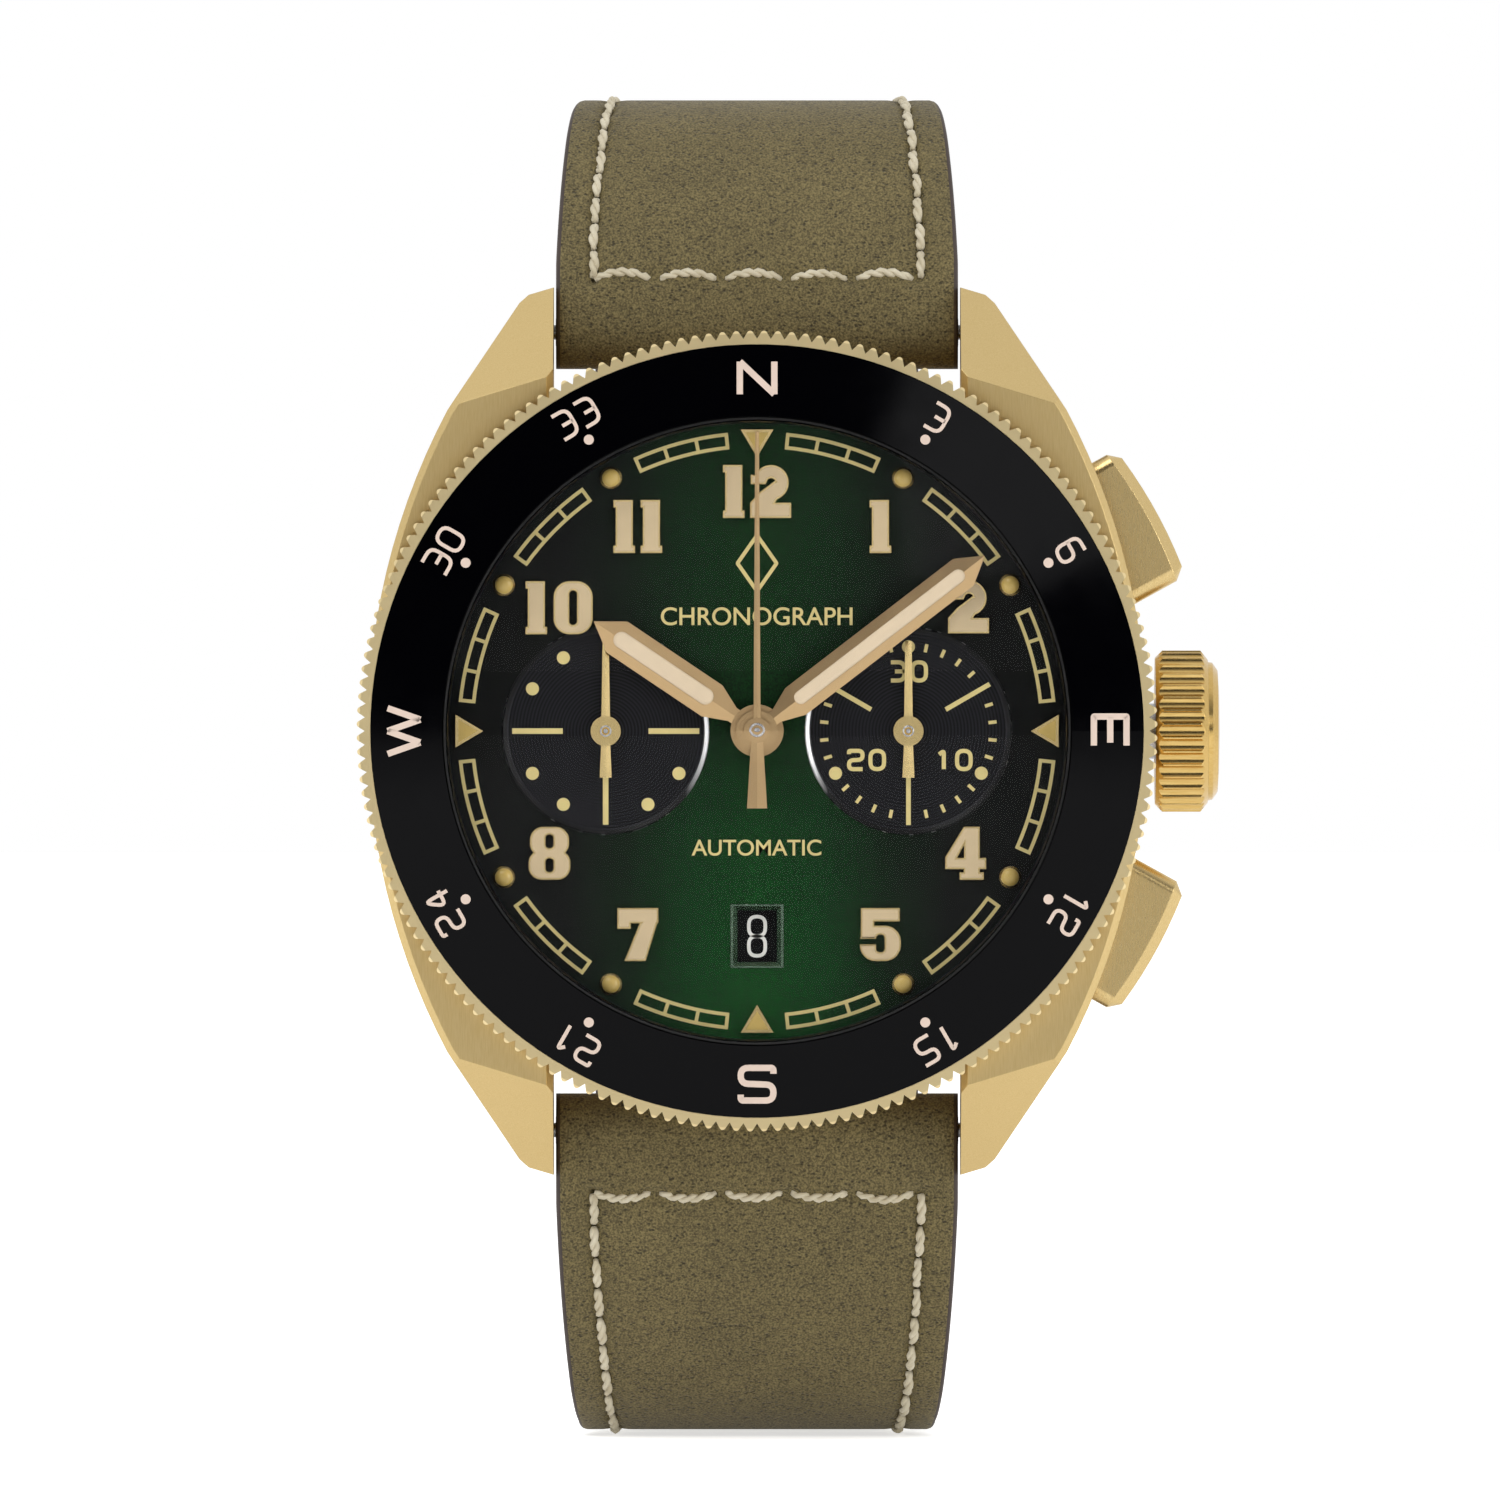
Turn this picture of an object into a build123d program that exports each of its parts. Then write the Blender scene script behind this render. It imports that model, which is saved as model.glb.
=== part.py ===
from build123d import *
import math
import os

# A dive watch with a compass bezel: an automatic two-register chronograph on a buckled leather strap.
# Everything is modelled on the bench, dial up: x to 3 o'clock, y to 12 o'clock, z to the crystal,
# z = 0 on the flat ring of the case back. save() then stands the watch up, with 12 o'clock at +Z
# and the dial facing -Y. Millimetres throughout.

# ---------------------------------------------------------------- driving dimensions
LUG_GAP = 22.0                # clear width between the lugs, the strap's nominal width
LUG_REACH = 24.0              # hand axis to a lug's tip, along y
CASE_HALF_WIDTH = 21.0        # hand axis to the flank at 3 o'clock
CASE_BOTTOM = 1.2             # underside of the middle case
CASE_TOP = 9.4                # shoulder of the middle case, under the bezel
LUG_CREASE_Y = 19.2           # where a lug's sloping facet leaves the shoulder, at its inner face
LUG_SLOPE = 46.6              # degrees that facet falls
FLANK_BEVEL = 0.35
BETWEEN_LUGS_RADIUS = 19.4    # case wall behind the strap
DIAL_SEAT_Z = 9.2
DIAL_RADIUS = 16.95
DIAL_THICKNESS = 0.4
BORE_RADIUS = 15.6            # middle case, round the movement holder
COLLAR_RADIUS = 18.2          # upright collar that the bezel turns on
COLLAR_TOP = 11.15
CRYSTAL_RADIUS = 16.75
CRYSTAL_SEAT_Z = 11.75
CRYSTAL_EDGE = 0.65           # height of the crystal's straight edge
CRYSTAL_TOP = 13.9            # crown of the dome
BACK_RADIUS = 17.8
BACK_WINDOW_RADIUS = 13.2
BACK_GLASS_RADIUS = 13.9
BACK_GLASS_THICKNESS = 1.0
BACK_NECK_RADIUS = 16.3
BACK_NECK_TOP = 2.6
BEZEL_RADIUS = 21.55          # over the coin-edge teeth
BEZEL_ROOT_RADIUS = 21.12
BEZEL_TEETH = 180
BEZEL_TOOTH_BEVEL = 0.14      # at the top of the teeth
BEZEL_BOTTOM = 9.6
BEZEL_RIM_TOP = 11.66
INSERT_OUTER_RADIUS = 20.8
INSERT_INNER_RADIUS = 16.95
INSERT_OUTER_Z = 11.05        # seat of the insert at its outer edge
INSERT_RISE = 0.2             # rise of the insert per millimetre inwards
INSERT_THICKNESS = 0.55
BEZEL_INNER_RADIUS = 17.2     # bezel ring's inner edge, under the insert, which reaches past it
MOVEMENT_RADIUS = 15.0
STEM_Z = 5.6                  # height of the winding stem and of the pushers
STEM_RADIUS = 0.5
STEM_INNER_X = 9.4
CROWN_RADIUS = 4.37
CROWN_FLUTES = 36
CROWN_INNER_X = CASE_HALF_WIDTH + 0.5
CROWN_LENGTH = 2.85
CROWN_CAP = 0.65              # height of the smooth cap beyond the flutes
CROWN_FLUTE_RADIUS = 0.36
CROWN_FLUTE_DEPTH = 0.24
CROWN_TUBE_RADIUS = 1.5
PUSHER_ANGLES = (29.0, -29.0)
PUSHER_WIDTH = 7.8
PUSHER_HEIGHT = 3.5
PUSHER_OUTER_RADIUS = CASE_HALF_WIDTH + 3.6   # hand axis to a pusher's outer face
PUSHER_INNER_RADIUS = CASE_HALF_WIDTH - 0.1
PUSHER_BULGE = 0.3            # of the outer face, over the pusher's width
PUSHER_BEVEL = 0.55          # round the outer face
PUSHER_CORNER = 0.7
PUSHER_COUNTERBORE = 1.4      # radius, round the return spring
PUSHER_COUNTERBORE_DEPTH = 1.6
PUSHER_STEM_INNER_RADIUS = 14.3   # hand axis to the inner end of a pusher's stem
PUSHER_STEM_RADIUS = 0.6
POCKET_FLOOR_RADIUS = CASE_HALF_WIDTH - 1.3    # floor of a pusher's pocket in the flank
SUBDIAL_OFFSET = 8.12         # hand axis to each small register
SUBDIAL_RADIUS = 5.55
DATE_Y = -11.0
DATE_DISC_INNER_RADIUS = 9.0
DATE_DISC_OUTER_RADIUS = 13.4
DATE_DISC_LOW = 8.7
DATE_DISC_HIGH = 8.95
DATES = 31
DATE_WINDOW = (2.12, 2.78)
DATE_FRAME = (2.84, 3.4)
NUMERAL_HEIGHT = 2.85
NUMERAL_STROKE = 0.92
STRAP_LUG_THICKNESS = 4.0
STRAP_THICKNESS = 2.4
STRAP_PAD_LENGTH = 16.2       # from the spring bar to where the padding has tapered off
STRAP_BEND_WIDTH = 19.5
STRAP_BUCKLE_WIDTH = 18.0
SPRING_BAR_Y = 21.6
SPRING_BAR_Z = 2.6
SPRING_BAR_RADIUS = 0.75
BUCKLE_BAR_Y = 2.0            # the buckle's hinge bar, along y
BUCKLE_REACH = 10.0           # from there to the front bar
BUCKLE_BAR_RADIUS = 1.2
BUCKLE_ARM = 2.0
KEEPER_LENGTH = 4.0
KEEPER_WALL = 0.9
FIXED_KEEPER_Y = 6.5
LOOSE_KEEPER_Y = 12.5

# ---------------------------------------------------------------- named clearances
RUNNING = 0.05                # radial, every turning or sliding fit
SEATED = 0.02                 # radial, a piece dropped into its seat
EASY = 0.15                   # about a piece that never touches
STRAP_CLEAR = 0.12            # each side of the strap, between lugs and in the keepers
GEAR_ADDENDUM = 0.6           # tooth height above the pitch circle, in modules
GEAR_DEDENDUM = 1.1
GEAR_TOOTH_SHARE = 0.34       # share of the pitch that a tooth fills

WORN = Rot(90, 0, 0)
os.makedirs("parts", exist_ok=True)


def save(node, *shapes):
    """Write a node's solids, stood up with 12 o'clock at the top."""
    solids = [solid for shape in shapes for solid in shape.solids()]
    body = solids[0] if len(solids) == 1 else Compound(solids)
    export_step(WORN * body, f"parts/{node}.step")


def disc(radius, low, high, hole=0.0, at=(0.0, 0.0)):
    """A round plate between two heights, pierced if a hole is given."""
    face = Circle(radius)
    if hole:
        face -= Circle(hole)
    return Pos(at[0], at[1], low) * extrude(face, high - low)


def turned(*points):
    """A ring turned about the hand axis from (radius, z) points."""
    return revolve(Plane.XZ * make_face(Polyline(*points, close=True)), Axis.Z)


def polar(radius, degrees):
    return radius * math.cos(math.radians(degrees)), radius * math.sin(math.radians(degrees))


def bearing_deg(start, end):
    return math.degrees(math.atan2(end[1] - start[1], end[0] - start[0]))


def upright_box(low, high):
    """A box between two opposite corners."""
    size = [b - a for a, b in zip(low, high)]
    middle = [(a + b) / 2 for a, b in zip(low, high)]
    return Pos(*middle) * Box(*size)


def rod_x(radius, x_low, x_high, y=0.0, z=0.0):
    """A round bar along x."""
    return Pos(x_low, y, z) * Rot(0, 90, 0) * extrude(Circle(radius), x_high - x_low)


# ---------------------------------------------------------------- case
def case_plan():
    """Plan of the middle case with its four lugs, from one quarter."""
    flank_top = (16.7, 17.3)
    lug_tip = [(12.85, LUG_REACH - 0.85), (12.35, LUG_REACH - 0.4), (LUG_GAP / 2, LUG_REACH)]
    # the flank is one arc, square to x at 3 o'clock
    arc_centre = (CASE_HALF_WIDTH**2 - flank_top[0]**2 - flank_top[1]**2) / (
        2 * (CASE_HALF_WIDTH - flank_top[0]))
    arc_radius = CASE_HALF_WIDTH - arc_centre
    half_turn = math.degrees(math.asin(flank_top[1] / arc_radius)) / 2
    middle = polar(arc_radius, half_turn)
    flank = ThreePointArc((CASE_HALF_WIDTH, 0), (arc_centre + middle[0], middle[1]), flank_top)
    rest = Polyline(flank_top, *lug_tip, (0, LUG_REACH), (0, 0), (CASE_HALF_WIDTH, 0))
    quarter = make_face(Curve() + [flank, rest])
    half = quarter + mirror(quarter, Plane.YZ)
    plan = half + mirror(half, Plane.XZ)
    gaps = Rectangle(LUG_GAP, 4 * LUG_REACH) - Circle(BETWEEN_LUGS_RADIUS)
    return plan - gaps


def lug_facets():
    """Wedges that slope the top of each lug down to its tip."""
    lean = math.radians(LUG_SLOPE)
    across = math.radians(16.9)
    normal = (math.sin(across) * math.sin(lean), math.cos(across) * math.sin(lean), math.cos(lean))
    plane = Plane(origin=(LUG_GAP / 2, LUG_CREASE_Y, CASE_TOP), z_dir=normal)
    wedge = plane.location * Pos(0, 0, 10) * Box(50, 50, 20)
    wedge = wedge & upright_box((LUG_GAP / 2 - 1, 10, 0), (30, 40, 30))
    pair = [wedge, mirror(wedge, Plane.YZ)]
    return pair + [mirror(each, Plane.XZ) for each in pair]


def pusher_frame(degrees):
    """Local frame of a pusher: z outwards along its travel, y up to the crystal."""
    x, y = polar(1.0, degrees)
    return Plane(origin=(0, 0, STEM_Z), x_dir=(-y, x, 0), z_dir=(x, y, 0)).location


def pusher_block(width, height, inner, outer):
    return Pos(0, 0, inner) * extrude(RectangleRounded(width, height, PUSHER_CORNER), outer - inner)


def mid_case():
    body = extrude(case_plan(), CASE_TOP - CASE_BOTTOM)
    body = chamfer(body.edges().group_by(Axis.Z)[-1], FLANK_BEVEL)
    body = chamfer(body.edges().group_by(Axis.Z)[0], FLANK_BEVEL)
    body = Pos(0, 0, CASE_BOTTOM) * body
    for facet in lug_facets():
        body -= facet
    body += disc(COLLAR_RADIUS, CASE_TOP - 1, COLLAR_TOP)
    body -= disc(BORE_RADIUS, 0, DIAL_SEAT_Z)
    body -= disc(BACK_NECK_RADIUS + SEATED, 0, BACK_NECK_TOP + 0.2)
    body -= disc(DIAL_RADIUS + EASY, DIAL_SEAT_Z, COLLAR_TOP + 1)
    body -= disc(COLLAR_RADIUS + 1, WIRE_LOW - 0.1, WIRE_LOW + WIRE_SIZE + 0.1, COLLAR_RADIUS - 0.2)
    body -= rod_x(CROWN_TUBE_RADIUS, 0, 30, z=STEM_Z)
    for degrees in PUSHER_ANGLES:
        frame = pusher_frame(degrees)
        pocket = pusher_block(PUSHER_WIDTH + 2 * EASY, PUSHER_HEIGHT + 2 * EASY, POCKET_FLOOR_RADIUS, 30)
        body -= frame * pocket
        body -= frame * extrude(Circle(PUSHER_TUBE_RADIUS), 30)
    pivot = SPRING_BAR_PIVOT_RADIUS + RUNNING
    reach = LUG_GAP / 2 + SPRING_BAR_PIVOT_LENGTH + 0.1
    for y in (SPRING_BAR_Y, -SPRING_BAR_Y):
        body -= rod_x(pivot, -reach, reach, y=y, z=SPRING_BAR_Z)
    return body


WIRE_LOW = 10.2               # retaining wire of the bezel
WIRE_SIZE = 0.4
PUSHER_TUBE_RADIUS = 1.1
SPRING_BAR_PIVOT_RADIUS = 0.4
SPRING_BAR_PIVOT_LENGTH = 1.0


def case_back():
    """Screw-down back: flat ring, neck, window step and six tool notches."""
    step = BACK_GLASS_RADIUS + 0.4
    back = turned((BACK_WINDOW_RADIUS, 0.0), (BACK_RADIUS - 0.4, 0.0), (BACK_RADIUS, 0.4),
                  (BACK_RADIUS, CASE_BOTTOM), (BACK_NECK_RADIUS, CASE_BOTTOM),
                  (BACK_NECK_RADIUS, BACK_NECK_TOP), (step + 0.5, BACK_NECK_TOP),
                  (step + 0.5, GLASS_LOW + BACK_GLASS_THICKNESS), (step, GLASS_LOW + BACK_GLASS_THICKNESS),
                  (step, GLASS_LOW), (BACK_WINDOW_RADIUS, GLASS_LOW))
    back -= disc(BACK_NECK_RADIUS + 1.0, CASE_BOTTOM - BACK_SEAL_SIZE, CASE_BOTTOM + 1, BACK_NECK_RADIUS + 0.4)
    for index in range(6):
        notch = upright_box((-0.9, BACK_RADIUS - 1.1, -1), (0.9, BACK_RADIUS + 1, 0.55))
        back -= Rot(0, 0, 60 * index) * notch
    return back


GLASS_LOW = 0.5
BACK_SEAL_SIZE = 0.3


def crystal():
    """Domed sapphire crystal, flat underneath."""
    shoulder = CRYSTAL_SEAT_Z + CRYSTAL_EDGE
    rise = CRYSTAL_TOP - shoulder
    sphere_radius = (CRYSTAL_RADIUS**2 + rise**2) / (2 * rise)
    blank = disc(CRYSTAL_RADIUS, CRYSTAL_SEAT_Z, CRYSTAL_TOP + 1)
    dome = blank & (Pos(0, 0, CRYSTAL_TOP - sphere_radius) * Sphere(sphere_radius))
    return dome


def case_gaskets():
    """Crystal gasket, case-back O-ring and the back glass's gasket."""
    crystal_seal = disc(CRYSTAL_RADIUS + 0.12, CRYSTAL_SEAT_Z, CRYSTAL_SEAT_Z + 0.5, CRYSTAL_RADIUS + SEATED)
    low = CASE_BOTTOM - BACK_SEAL_SIZE
    back_seal = disc(BACK_NECK_RADIUS + 0.95, low, CASE_BOTTOM, BACK_NECK_RADIUS + 0.45)
    glass_seal = disc(BACK_GLASS_RADIUS + 0.38, GLASS_LOW, GLASS_LOW + 0.9, BACK_GLASS_RADIUS + SEATED)
    return crystal_seal, back_seal, glass_seal


def dial_flange():
    """Inner sloping ring between dial and crystal."""
    foot = DIAL_SEAT_Z + DIAL_THICKNESS
    outer = DIAL_RADIUS + EASY - SEATED
    return turned((DIAL_RADIUS - 0.4, foot), (outer, foot), (outer, CRYSTAL_SEAT_Z),
                  (CRYSTAL_RADIUS - 0.08, CRYSTAL_SEAT_Z))


def movement_holder():
    ring = disc(BORE_RADIUS - SEATED, 3.2, DIAL_SEAT_Z, MOVEMENT_RADIUS + SEATED)
    for degrees in (0.0,) + PUSHER_ANGLES:
        ring -= pusher_frame(degrees) * extrude(Circle(0.9), 30)
    return ring


# ---------------------------------------------------------------- bezel
def insert_seat(radius):
    """Height of the insert's underside at a radius."""
    return INSERT_OUTER_Z + INSERT_RISE * (INSERT_OUTER_RADIUS + SEATED - radius)


def bezel_ring():
    """Coin-edge ring: rounded teeth level with the rim, and the insert's seat."""
    pitch = 360 / BEZEL_TEETH
    shoulder = BEZEL_RADIUS - 0.08
    edges = []
    for index in range(BEZEL_TEETH):
        start = pitch * index
        valley = polar(BEZEL_ROOT_RADIUS, start)
        rise = polar(shoulder, start + 0.3 * pitch)
        crest = polar(BEZEL_RADIUS, start + 0.5 * pitch)
        fall = polar(shoulder, start + 0.7 * pitch)
        edges.append(Line(valley, rise))
        edges.append(ThreePointArc(rise, crest, fall))
        edges.append(Line(fall, polar(BEZEL_ROOT_RADIUS, start + pitch)))
    low = BEZEL_BOTTOM + 0.3
    teeth = Pos(0, 0, low) * extrude(make_face(Curve() + edges), BEZEL_RIM_TOP - low)
    band = teeth - disc(BEZEL_ROOT_RADIUS - 0.1, 0, 20)
    beyond = 0.05
    band -= turned((BEZEL_RADIUS - BEZEL_TOOTH_BEVEL - beyond, BEZEL_RIM_TOP + beyond),
                   (BEZEL_RADIUS + 1, BEZEL_RIM_TOP - BEZEL_TOOTH_BEVEL - 1),
                   (BEZEL_RADIUS + 1, BEZEL_RIM_TOP + beyond))
    seat_out = INSERT_OUTER_RADIUS + SEATED
    bore = COLLAR_RADIUS + RUNNING
    underside = COLLAR_TOP + 0.2
    rim = BEZEL_ROOT_RADIUS
    core = turned((bore, BEZEL_BOTTOM), (rim, BEZEL_BOTTOM), (rim, BEZEL_RIM_TOP),
                  (seat_out, BEZEL_RIM_TOP), (seat_out, insert_seat(seat_out)),
                  (BEZEL_INNER_RADIUS, insert_seat(BEZEL_INNER_RADIUS)),
                  (BEZEL_INNER_RADIUS, underside), (bore, underside))
    ring = core + band
    groove = disc(COLLAR_RADIUS + 0.5, WIRE_LOW, WIRE_LOW + WIRE_SIZE + 0.02, COLLAR_RADIUS - 0.3)
    return ring - groove


def bezel_insert():
    seat_in = insert_seat(INSERT_INNER_RADIUS)
    seat_out = insert_seat(INSERT_OUTER_RADIUS)
    return turned((INSERT_INNER_RADIUS, seat_in), (INSERT_OUTER_RADIUS, seat_out),
                  (INSERT_OUTER_RADIUS, seat_out + INSERT_THICKNESS),
                  (INSERT_INNER_RADIUS, seat_in + INSERT_THICKNESS))


def bezel_wire():
    """Open spring wire that keeps the bezel on its collar."""
    ring = disc(COLLAR_RADIUS + 0.45, WIRE_LOW, WIRE_LOW + WIRE_SIZE, COLLAR_RADIUS - 0.12)
    return ring - upright_box((-0.8, 10, 9), (0.8, 25, 12))


# ---------------------------------------------------------------- dial
def digit(name):
    """One heavy slab numeral about its own centre."""
    tall = NUMERAL_HEIGHT
    heavy = NUMERAL_STROKE
    wide = 2.2
    top = tall / 2
    side = wide / 2
    if name == "1":
        foot = Pos(0, -top + 0.2) * Rectangle(1.16, 0.4)
        flag = Pos(-0.06, top - 0.2) * Rectangle(1.04, 0.4)
        return Rectangle(heavy, tall) + foot + flag
    if name == "2":
        bowl = Pos(0.02, top - 0.95) * (Circle(0.95) - Circle(0.24))
        bowl -= Pos(-0.6, top - 1.45) * Rectangle(1.2, 1.0)
        hook = Pos(-0.66, top - 0.78) * Rectangle(0.82, 0.5)
        neck = make_face(Polyline((side - 0.16, 0.5), (side - 0.9, -0.65), (-side, -0.85), (-side, -0.6),
                                  (-0.6, -0.05), (0.2, 0.55), close=True))
        base = Pos(0, -top + 0.41) * Rectangle(wide, 0.82)
        return bowl + hook + neck + base
    if name == "4":
        stem = Pos(0.32, 0) * Rectangle(heavy - 0.06, tall)
        slope = make_face(Polyline((0.75, top), (-0.1, top), (-side, -0.2), (-side, -0.85), (0.75, -0.85),
                                   close=True))
        counter = make_face(Polyline((-0.09, 0.45), (-0.09, -0.25), (-0.47, -0.25), close=True))
        bar = Pos(0, -0.55) * Rectangle(wide, 0.6)
        foot = Pos(0.32, -top + 0.2) * Rectangle(1.3, 0.4)
        return stem + slope + bar + foot - counter
    if name == "5":
        bowl = Pos(0, -top + 0.95) * (RectangleRounded(wide, 1.9, 0.85) - RectangleRounded(0.46, 0.95, 0.2))
        bowl -= Pos(-0.75, -0.38) * Rectangle(1.05, 0.3)
        back = Pos(-side + 0.41, 0.62) * Rectangle(0.72, 1.6)
        cap = Pos(0.02, top - 0.36) * Rectangle(wide - 0.16, 0.72)
        return bowl + back + cap
    if name == "7":
        cap = Pos(0, top - 0.41) * Rectangle(wide, 0.82)
        hook = Pos(-side + 0.36, top - 0.56) * Rectangle(0.72, 1.12)
        leg = make_face(Polyline((side, top), (side, top - 0.62), (0.42, -top), (-0.72, -top), (0.1, 0.6),
                                 close=True))
        return cap + hook + leg
    if name == "8":
        upper = Pos(0, 0.62) * RectangleRounded(wide - 0.1, 1.6, 0.7)
        lower = Pos(0, -0.62) * RectangleRounded(wide + 0.05, 1.6, 0.7)
        eyes = Pos(0, 0.64) * RectangleRounded(0.43, 0.74, 0.19) + Pos(0, -0.64) * RectangleRounded(
            0.43, 0.74, 0.19)
        return upper + lower - eyes
    return RectangleRounded(wide - 0.1, tall, 0.85) - RectangleRounded(0.42, tall - 1.0, 0.2)


def numeral(text):
    """A numeral of one or two digits, centred."""
    widths = [1.16 if name == "1" else 2.2 for name in text]
    gap = 0.3
    x = -(sum(widths) + gap * (len(text) - 1)) / 2
    shapes = Sketch()
    for name, width in zip(text, widths):
        shapes += Pos(x + width / 2, 0) * digit(name)
        x += width + gap
    return shapes


NUMERAL_PLACES = {"12": (0.0, 12.86), "1": (6.62, 10.98), "2": (11.35, 6.67), "4": (11.2, -6.56),
                  "5": (6.62, -10.92), "7": (-6.4, -10.92), "8": (-11.14, -6.56), "10": (-10.6, 6.62),
                  "11": (-6.4, 10.98)}
DIAL_TOP = DIAL_SEAT_Z + DIAL_THICKNESS


def applied_numerals():
    """The nine raised numerals on the dial."""
    pieces = []
    for text, (x, y) in NUMERAL_PLACES.items():
        pieces.append(Pos(x, y, DIAL_TOP) * extrude(numeral(text), 0.35))
    return pieces


PEARL_RADIUS = 0.6
MARKER_RADIUS = 15.7


def hour_markers():
    """Domed pearls between the quarters, arrowheads at 12, 3, 6 and 9."""
    pieces = []
    for hour in range(12):
        place = Rot(0, 0, -30 * hour)
        if hour % 3:
            rise = 0.3
            ball = (PEARL_RADIUS**2 + rise**2) / (2 * rise)
            pearl = disc(PEARL_RADIUS, 0, 1) & (Pos(0, 0, rise + 0.08 - ball) * Sphere(ball))
            pieces.append(place * Pos(0, MARKER_RADIUS, DIAL_TOP) * pearl)
        else:
            arrow = make_face(Polyline((-0.88, 16.2), (0.88, 16.2), (0, 14.7), close=True))
            pieces.append(place * Pos(0, 0, DIAL_TOP) * extrude(arrow, 0.3))
    return pieces


def dial_plate():
    plate = disc(DIAL_RADIUS, DIAL_SEAT_Z, DIAL_TOP, HOUR_PIPE_RADIUS + EASY)
    for x in (SUBDIAL_OFFSET, -SUBDIAL_OFFSET):
        plate -= disc(SUBDIAL_RADIUS + SEATED, 0, 20, at=(x, 0))
    window = Rectangle(DATE_FRAME[0] + 2 * SEATED, DATE_FRAME[1] + 2 * SEATED)
    return plate - Pos(0, DATE_Y, DIAL_SEAT_Z - 1) * extrude(window, 3)


def subdial(x):
    """A register: flat floor under the dial's surface, inside a bevelled ring."""
    floor = DIAL_SEAT_Z + 0.24
    rim = DIAL_TOP
    profile = [(REGISTER_ARBOR_RADIUS + EASY, DIAL_SEAT_Z), (SUBDIAL_RADIUS, DIAL_SEAT_Z), (SUBDIAL_RADIUS, rim),
               (SUBDIAL_RADIUS - 0.06, rim), (SUBDIAL_RADIUS - 0.33, floor),
               (REGISTER_ARBOR_RADIUS + EASY, floor)]
    return Pos(x, 0, 0) * turned(*profile)


def date_window_frame():
    """Bevelled frame round the date aperture."""
    outer = extrude(Rectangle(*DATE_FRAME), 0.48)
    opening = extrude(Rectangle(*DATE_WINDOW), 2)
    frame = outer - opening
    frame = chamfer(frame.edges().group_by(Axis.Z)[-1].filter_by(
        lambda edge: abs(edge.center().X) < DATE_WINDOW[0] / 2 + 0.01
        and abs(edge.center().Y) < DATE_WINDOW[1] / 2 + 0.01), 0.22)
    return Pos(0, DATE_Y, DIAL_SEAT_Z) * frame


# ---------------------------------------------------------------- hands
REGISTER_ARBOR_RADIUS = 0.2
CHRONO_ARBOR_RADIUS = 0.15
CENTRE_ARBOR_RADIUS = 0.36
CANNON_RADIUS = 0.62
HOUR_PIPE_RADIUS = 0.95


def hand(outline, hub_radius, hole_radius, low, edge, ridge, half_width):
    """A roof-shaped hand that points to 12: low edges, a ridge down the middle, a round hub."""
    roof = make_face(Polyline((-half_width, 0), (half_width, 0), (half_width, edge), (0, ridge),
                              (-half_width, edge), close=True))
    prism = Plane.XZ * extrude(roof, 40, both=True)
    blade = extrude(make_face(Polyline(*outline, close=True)), ridge) & prism
    blade += disc(hub_radius, 0, ridge)
    blade -= disc(hole_radius, -1, 5)
    return Pos(0, 0, low) * blade


def mirrored(points):
    """An outline from its right-hand half."""
    return points + [(-x, y) for x, y in reversed(points) if x]


def lume_slot(width, start, end):
    """A round-ended slot along a hand."""
    return Pos(0, (start + end) / 2) * Rot(0, 0, 90) * SlotOverall(end - start, width)


HOUR_ANGLE = -303.9           # where the hands stand, turned about z from 12 o'clock
MINUTE_ANGLE = -52.4
HOUR_LOW = 10.2
MINUTE_LOW = 10.75
CHRONO_LOW = 11.27
REGISTER_LOW = 9.8
HAND_EDGE = 0.14
HAND_RIDGE = 0.36
LUME_DEPTH = 0.2


def hour_hand():
    outline = mirrored([(0.42, 0.0), (0.42, 1.6), (1.0, 2.9), (1.0, 9.05), (0, 10.56)])
    blade = hand(outline, 1.43, HOUR_PIPE_RADIUS, HOUR_LOW, HAND_EDGE, HAND_RIDGE, 1.0)
    slot = Pos(0, 0, HOUR_LOW + LUME_DEPTH) * extrude(lume_slot(0.94, 2.9, 9.2), 1)
    return Rot(0, 0, HOUR_ANGLE) * (blade - slot)


def minute_hand():
    outline = mirrored([(0.38, 0.0), (0.38, 1.3), (0.9, 2.6), (0.9, 14.0), (0, 15.45)])
    blade = hand(outline, 1.12, CANNON_RADIUS, MINUTE_LOW, HAND_EDGE, HAND_RIDGE, 0.9)
    slot = Pos(0, 0, MINUTE_LOW + LUME_DEPTH) * extrude(lume_slot(0.78, 2.6, 14.0), 1)
    return Rot(0, 0, MINUTE_ANGLE) * (blade - slot)


def chrono_seconds_hand():
    outline = mirrored([(0, -4.15), (0.54, -4.15), (0.32, -0.5), (0.19, 0.5), (0.1, 16.1)][1:])
    return hand(outline, 0.72, CHRONO_ARBOR_RADIUS, CHRONO_LOW, 0.12, 0.24, 0.55)


def register_hand(length):
    outline = mirrored([(0.325, -2.5), (0.235, -0.5), (0.235, 0.5), (0.17, length)])
    return hand(outline, 0.81, REGISTER_ARBOR_RADIUS, REGISTER_LOW, 0.1, 0.2, 0.33)


# ---------------------------------------------------------------- movement
PLATE_LOW = 6.9               # mainplate, from here up to PLATE_HIGH
PLATE_HIGH = 8.0
BRIDGE_LOW = 3.5
BRIDGE_HIGH = 4.1
ROTOR_LOW = 1.85
JEWEL_RADIUS = 0.6
PIVOT_RADIUS = 0.15

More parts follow.
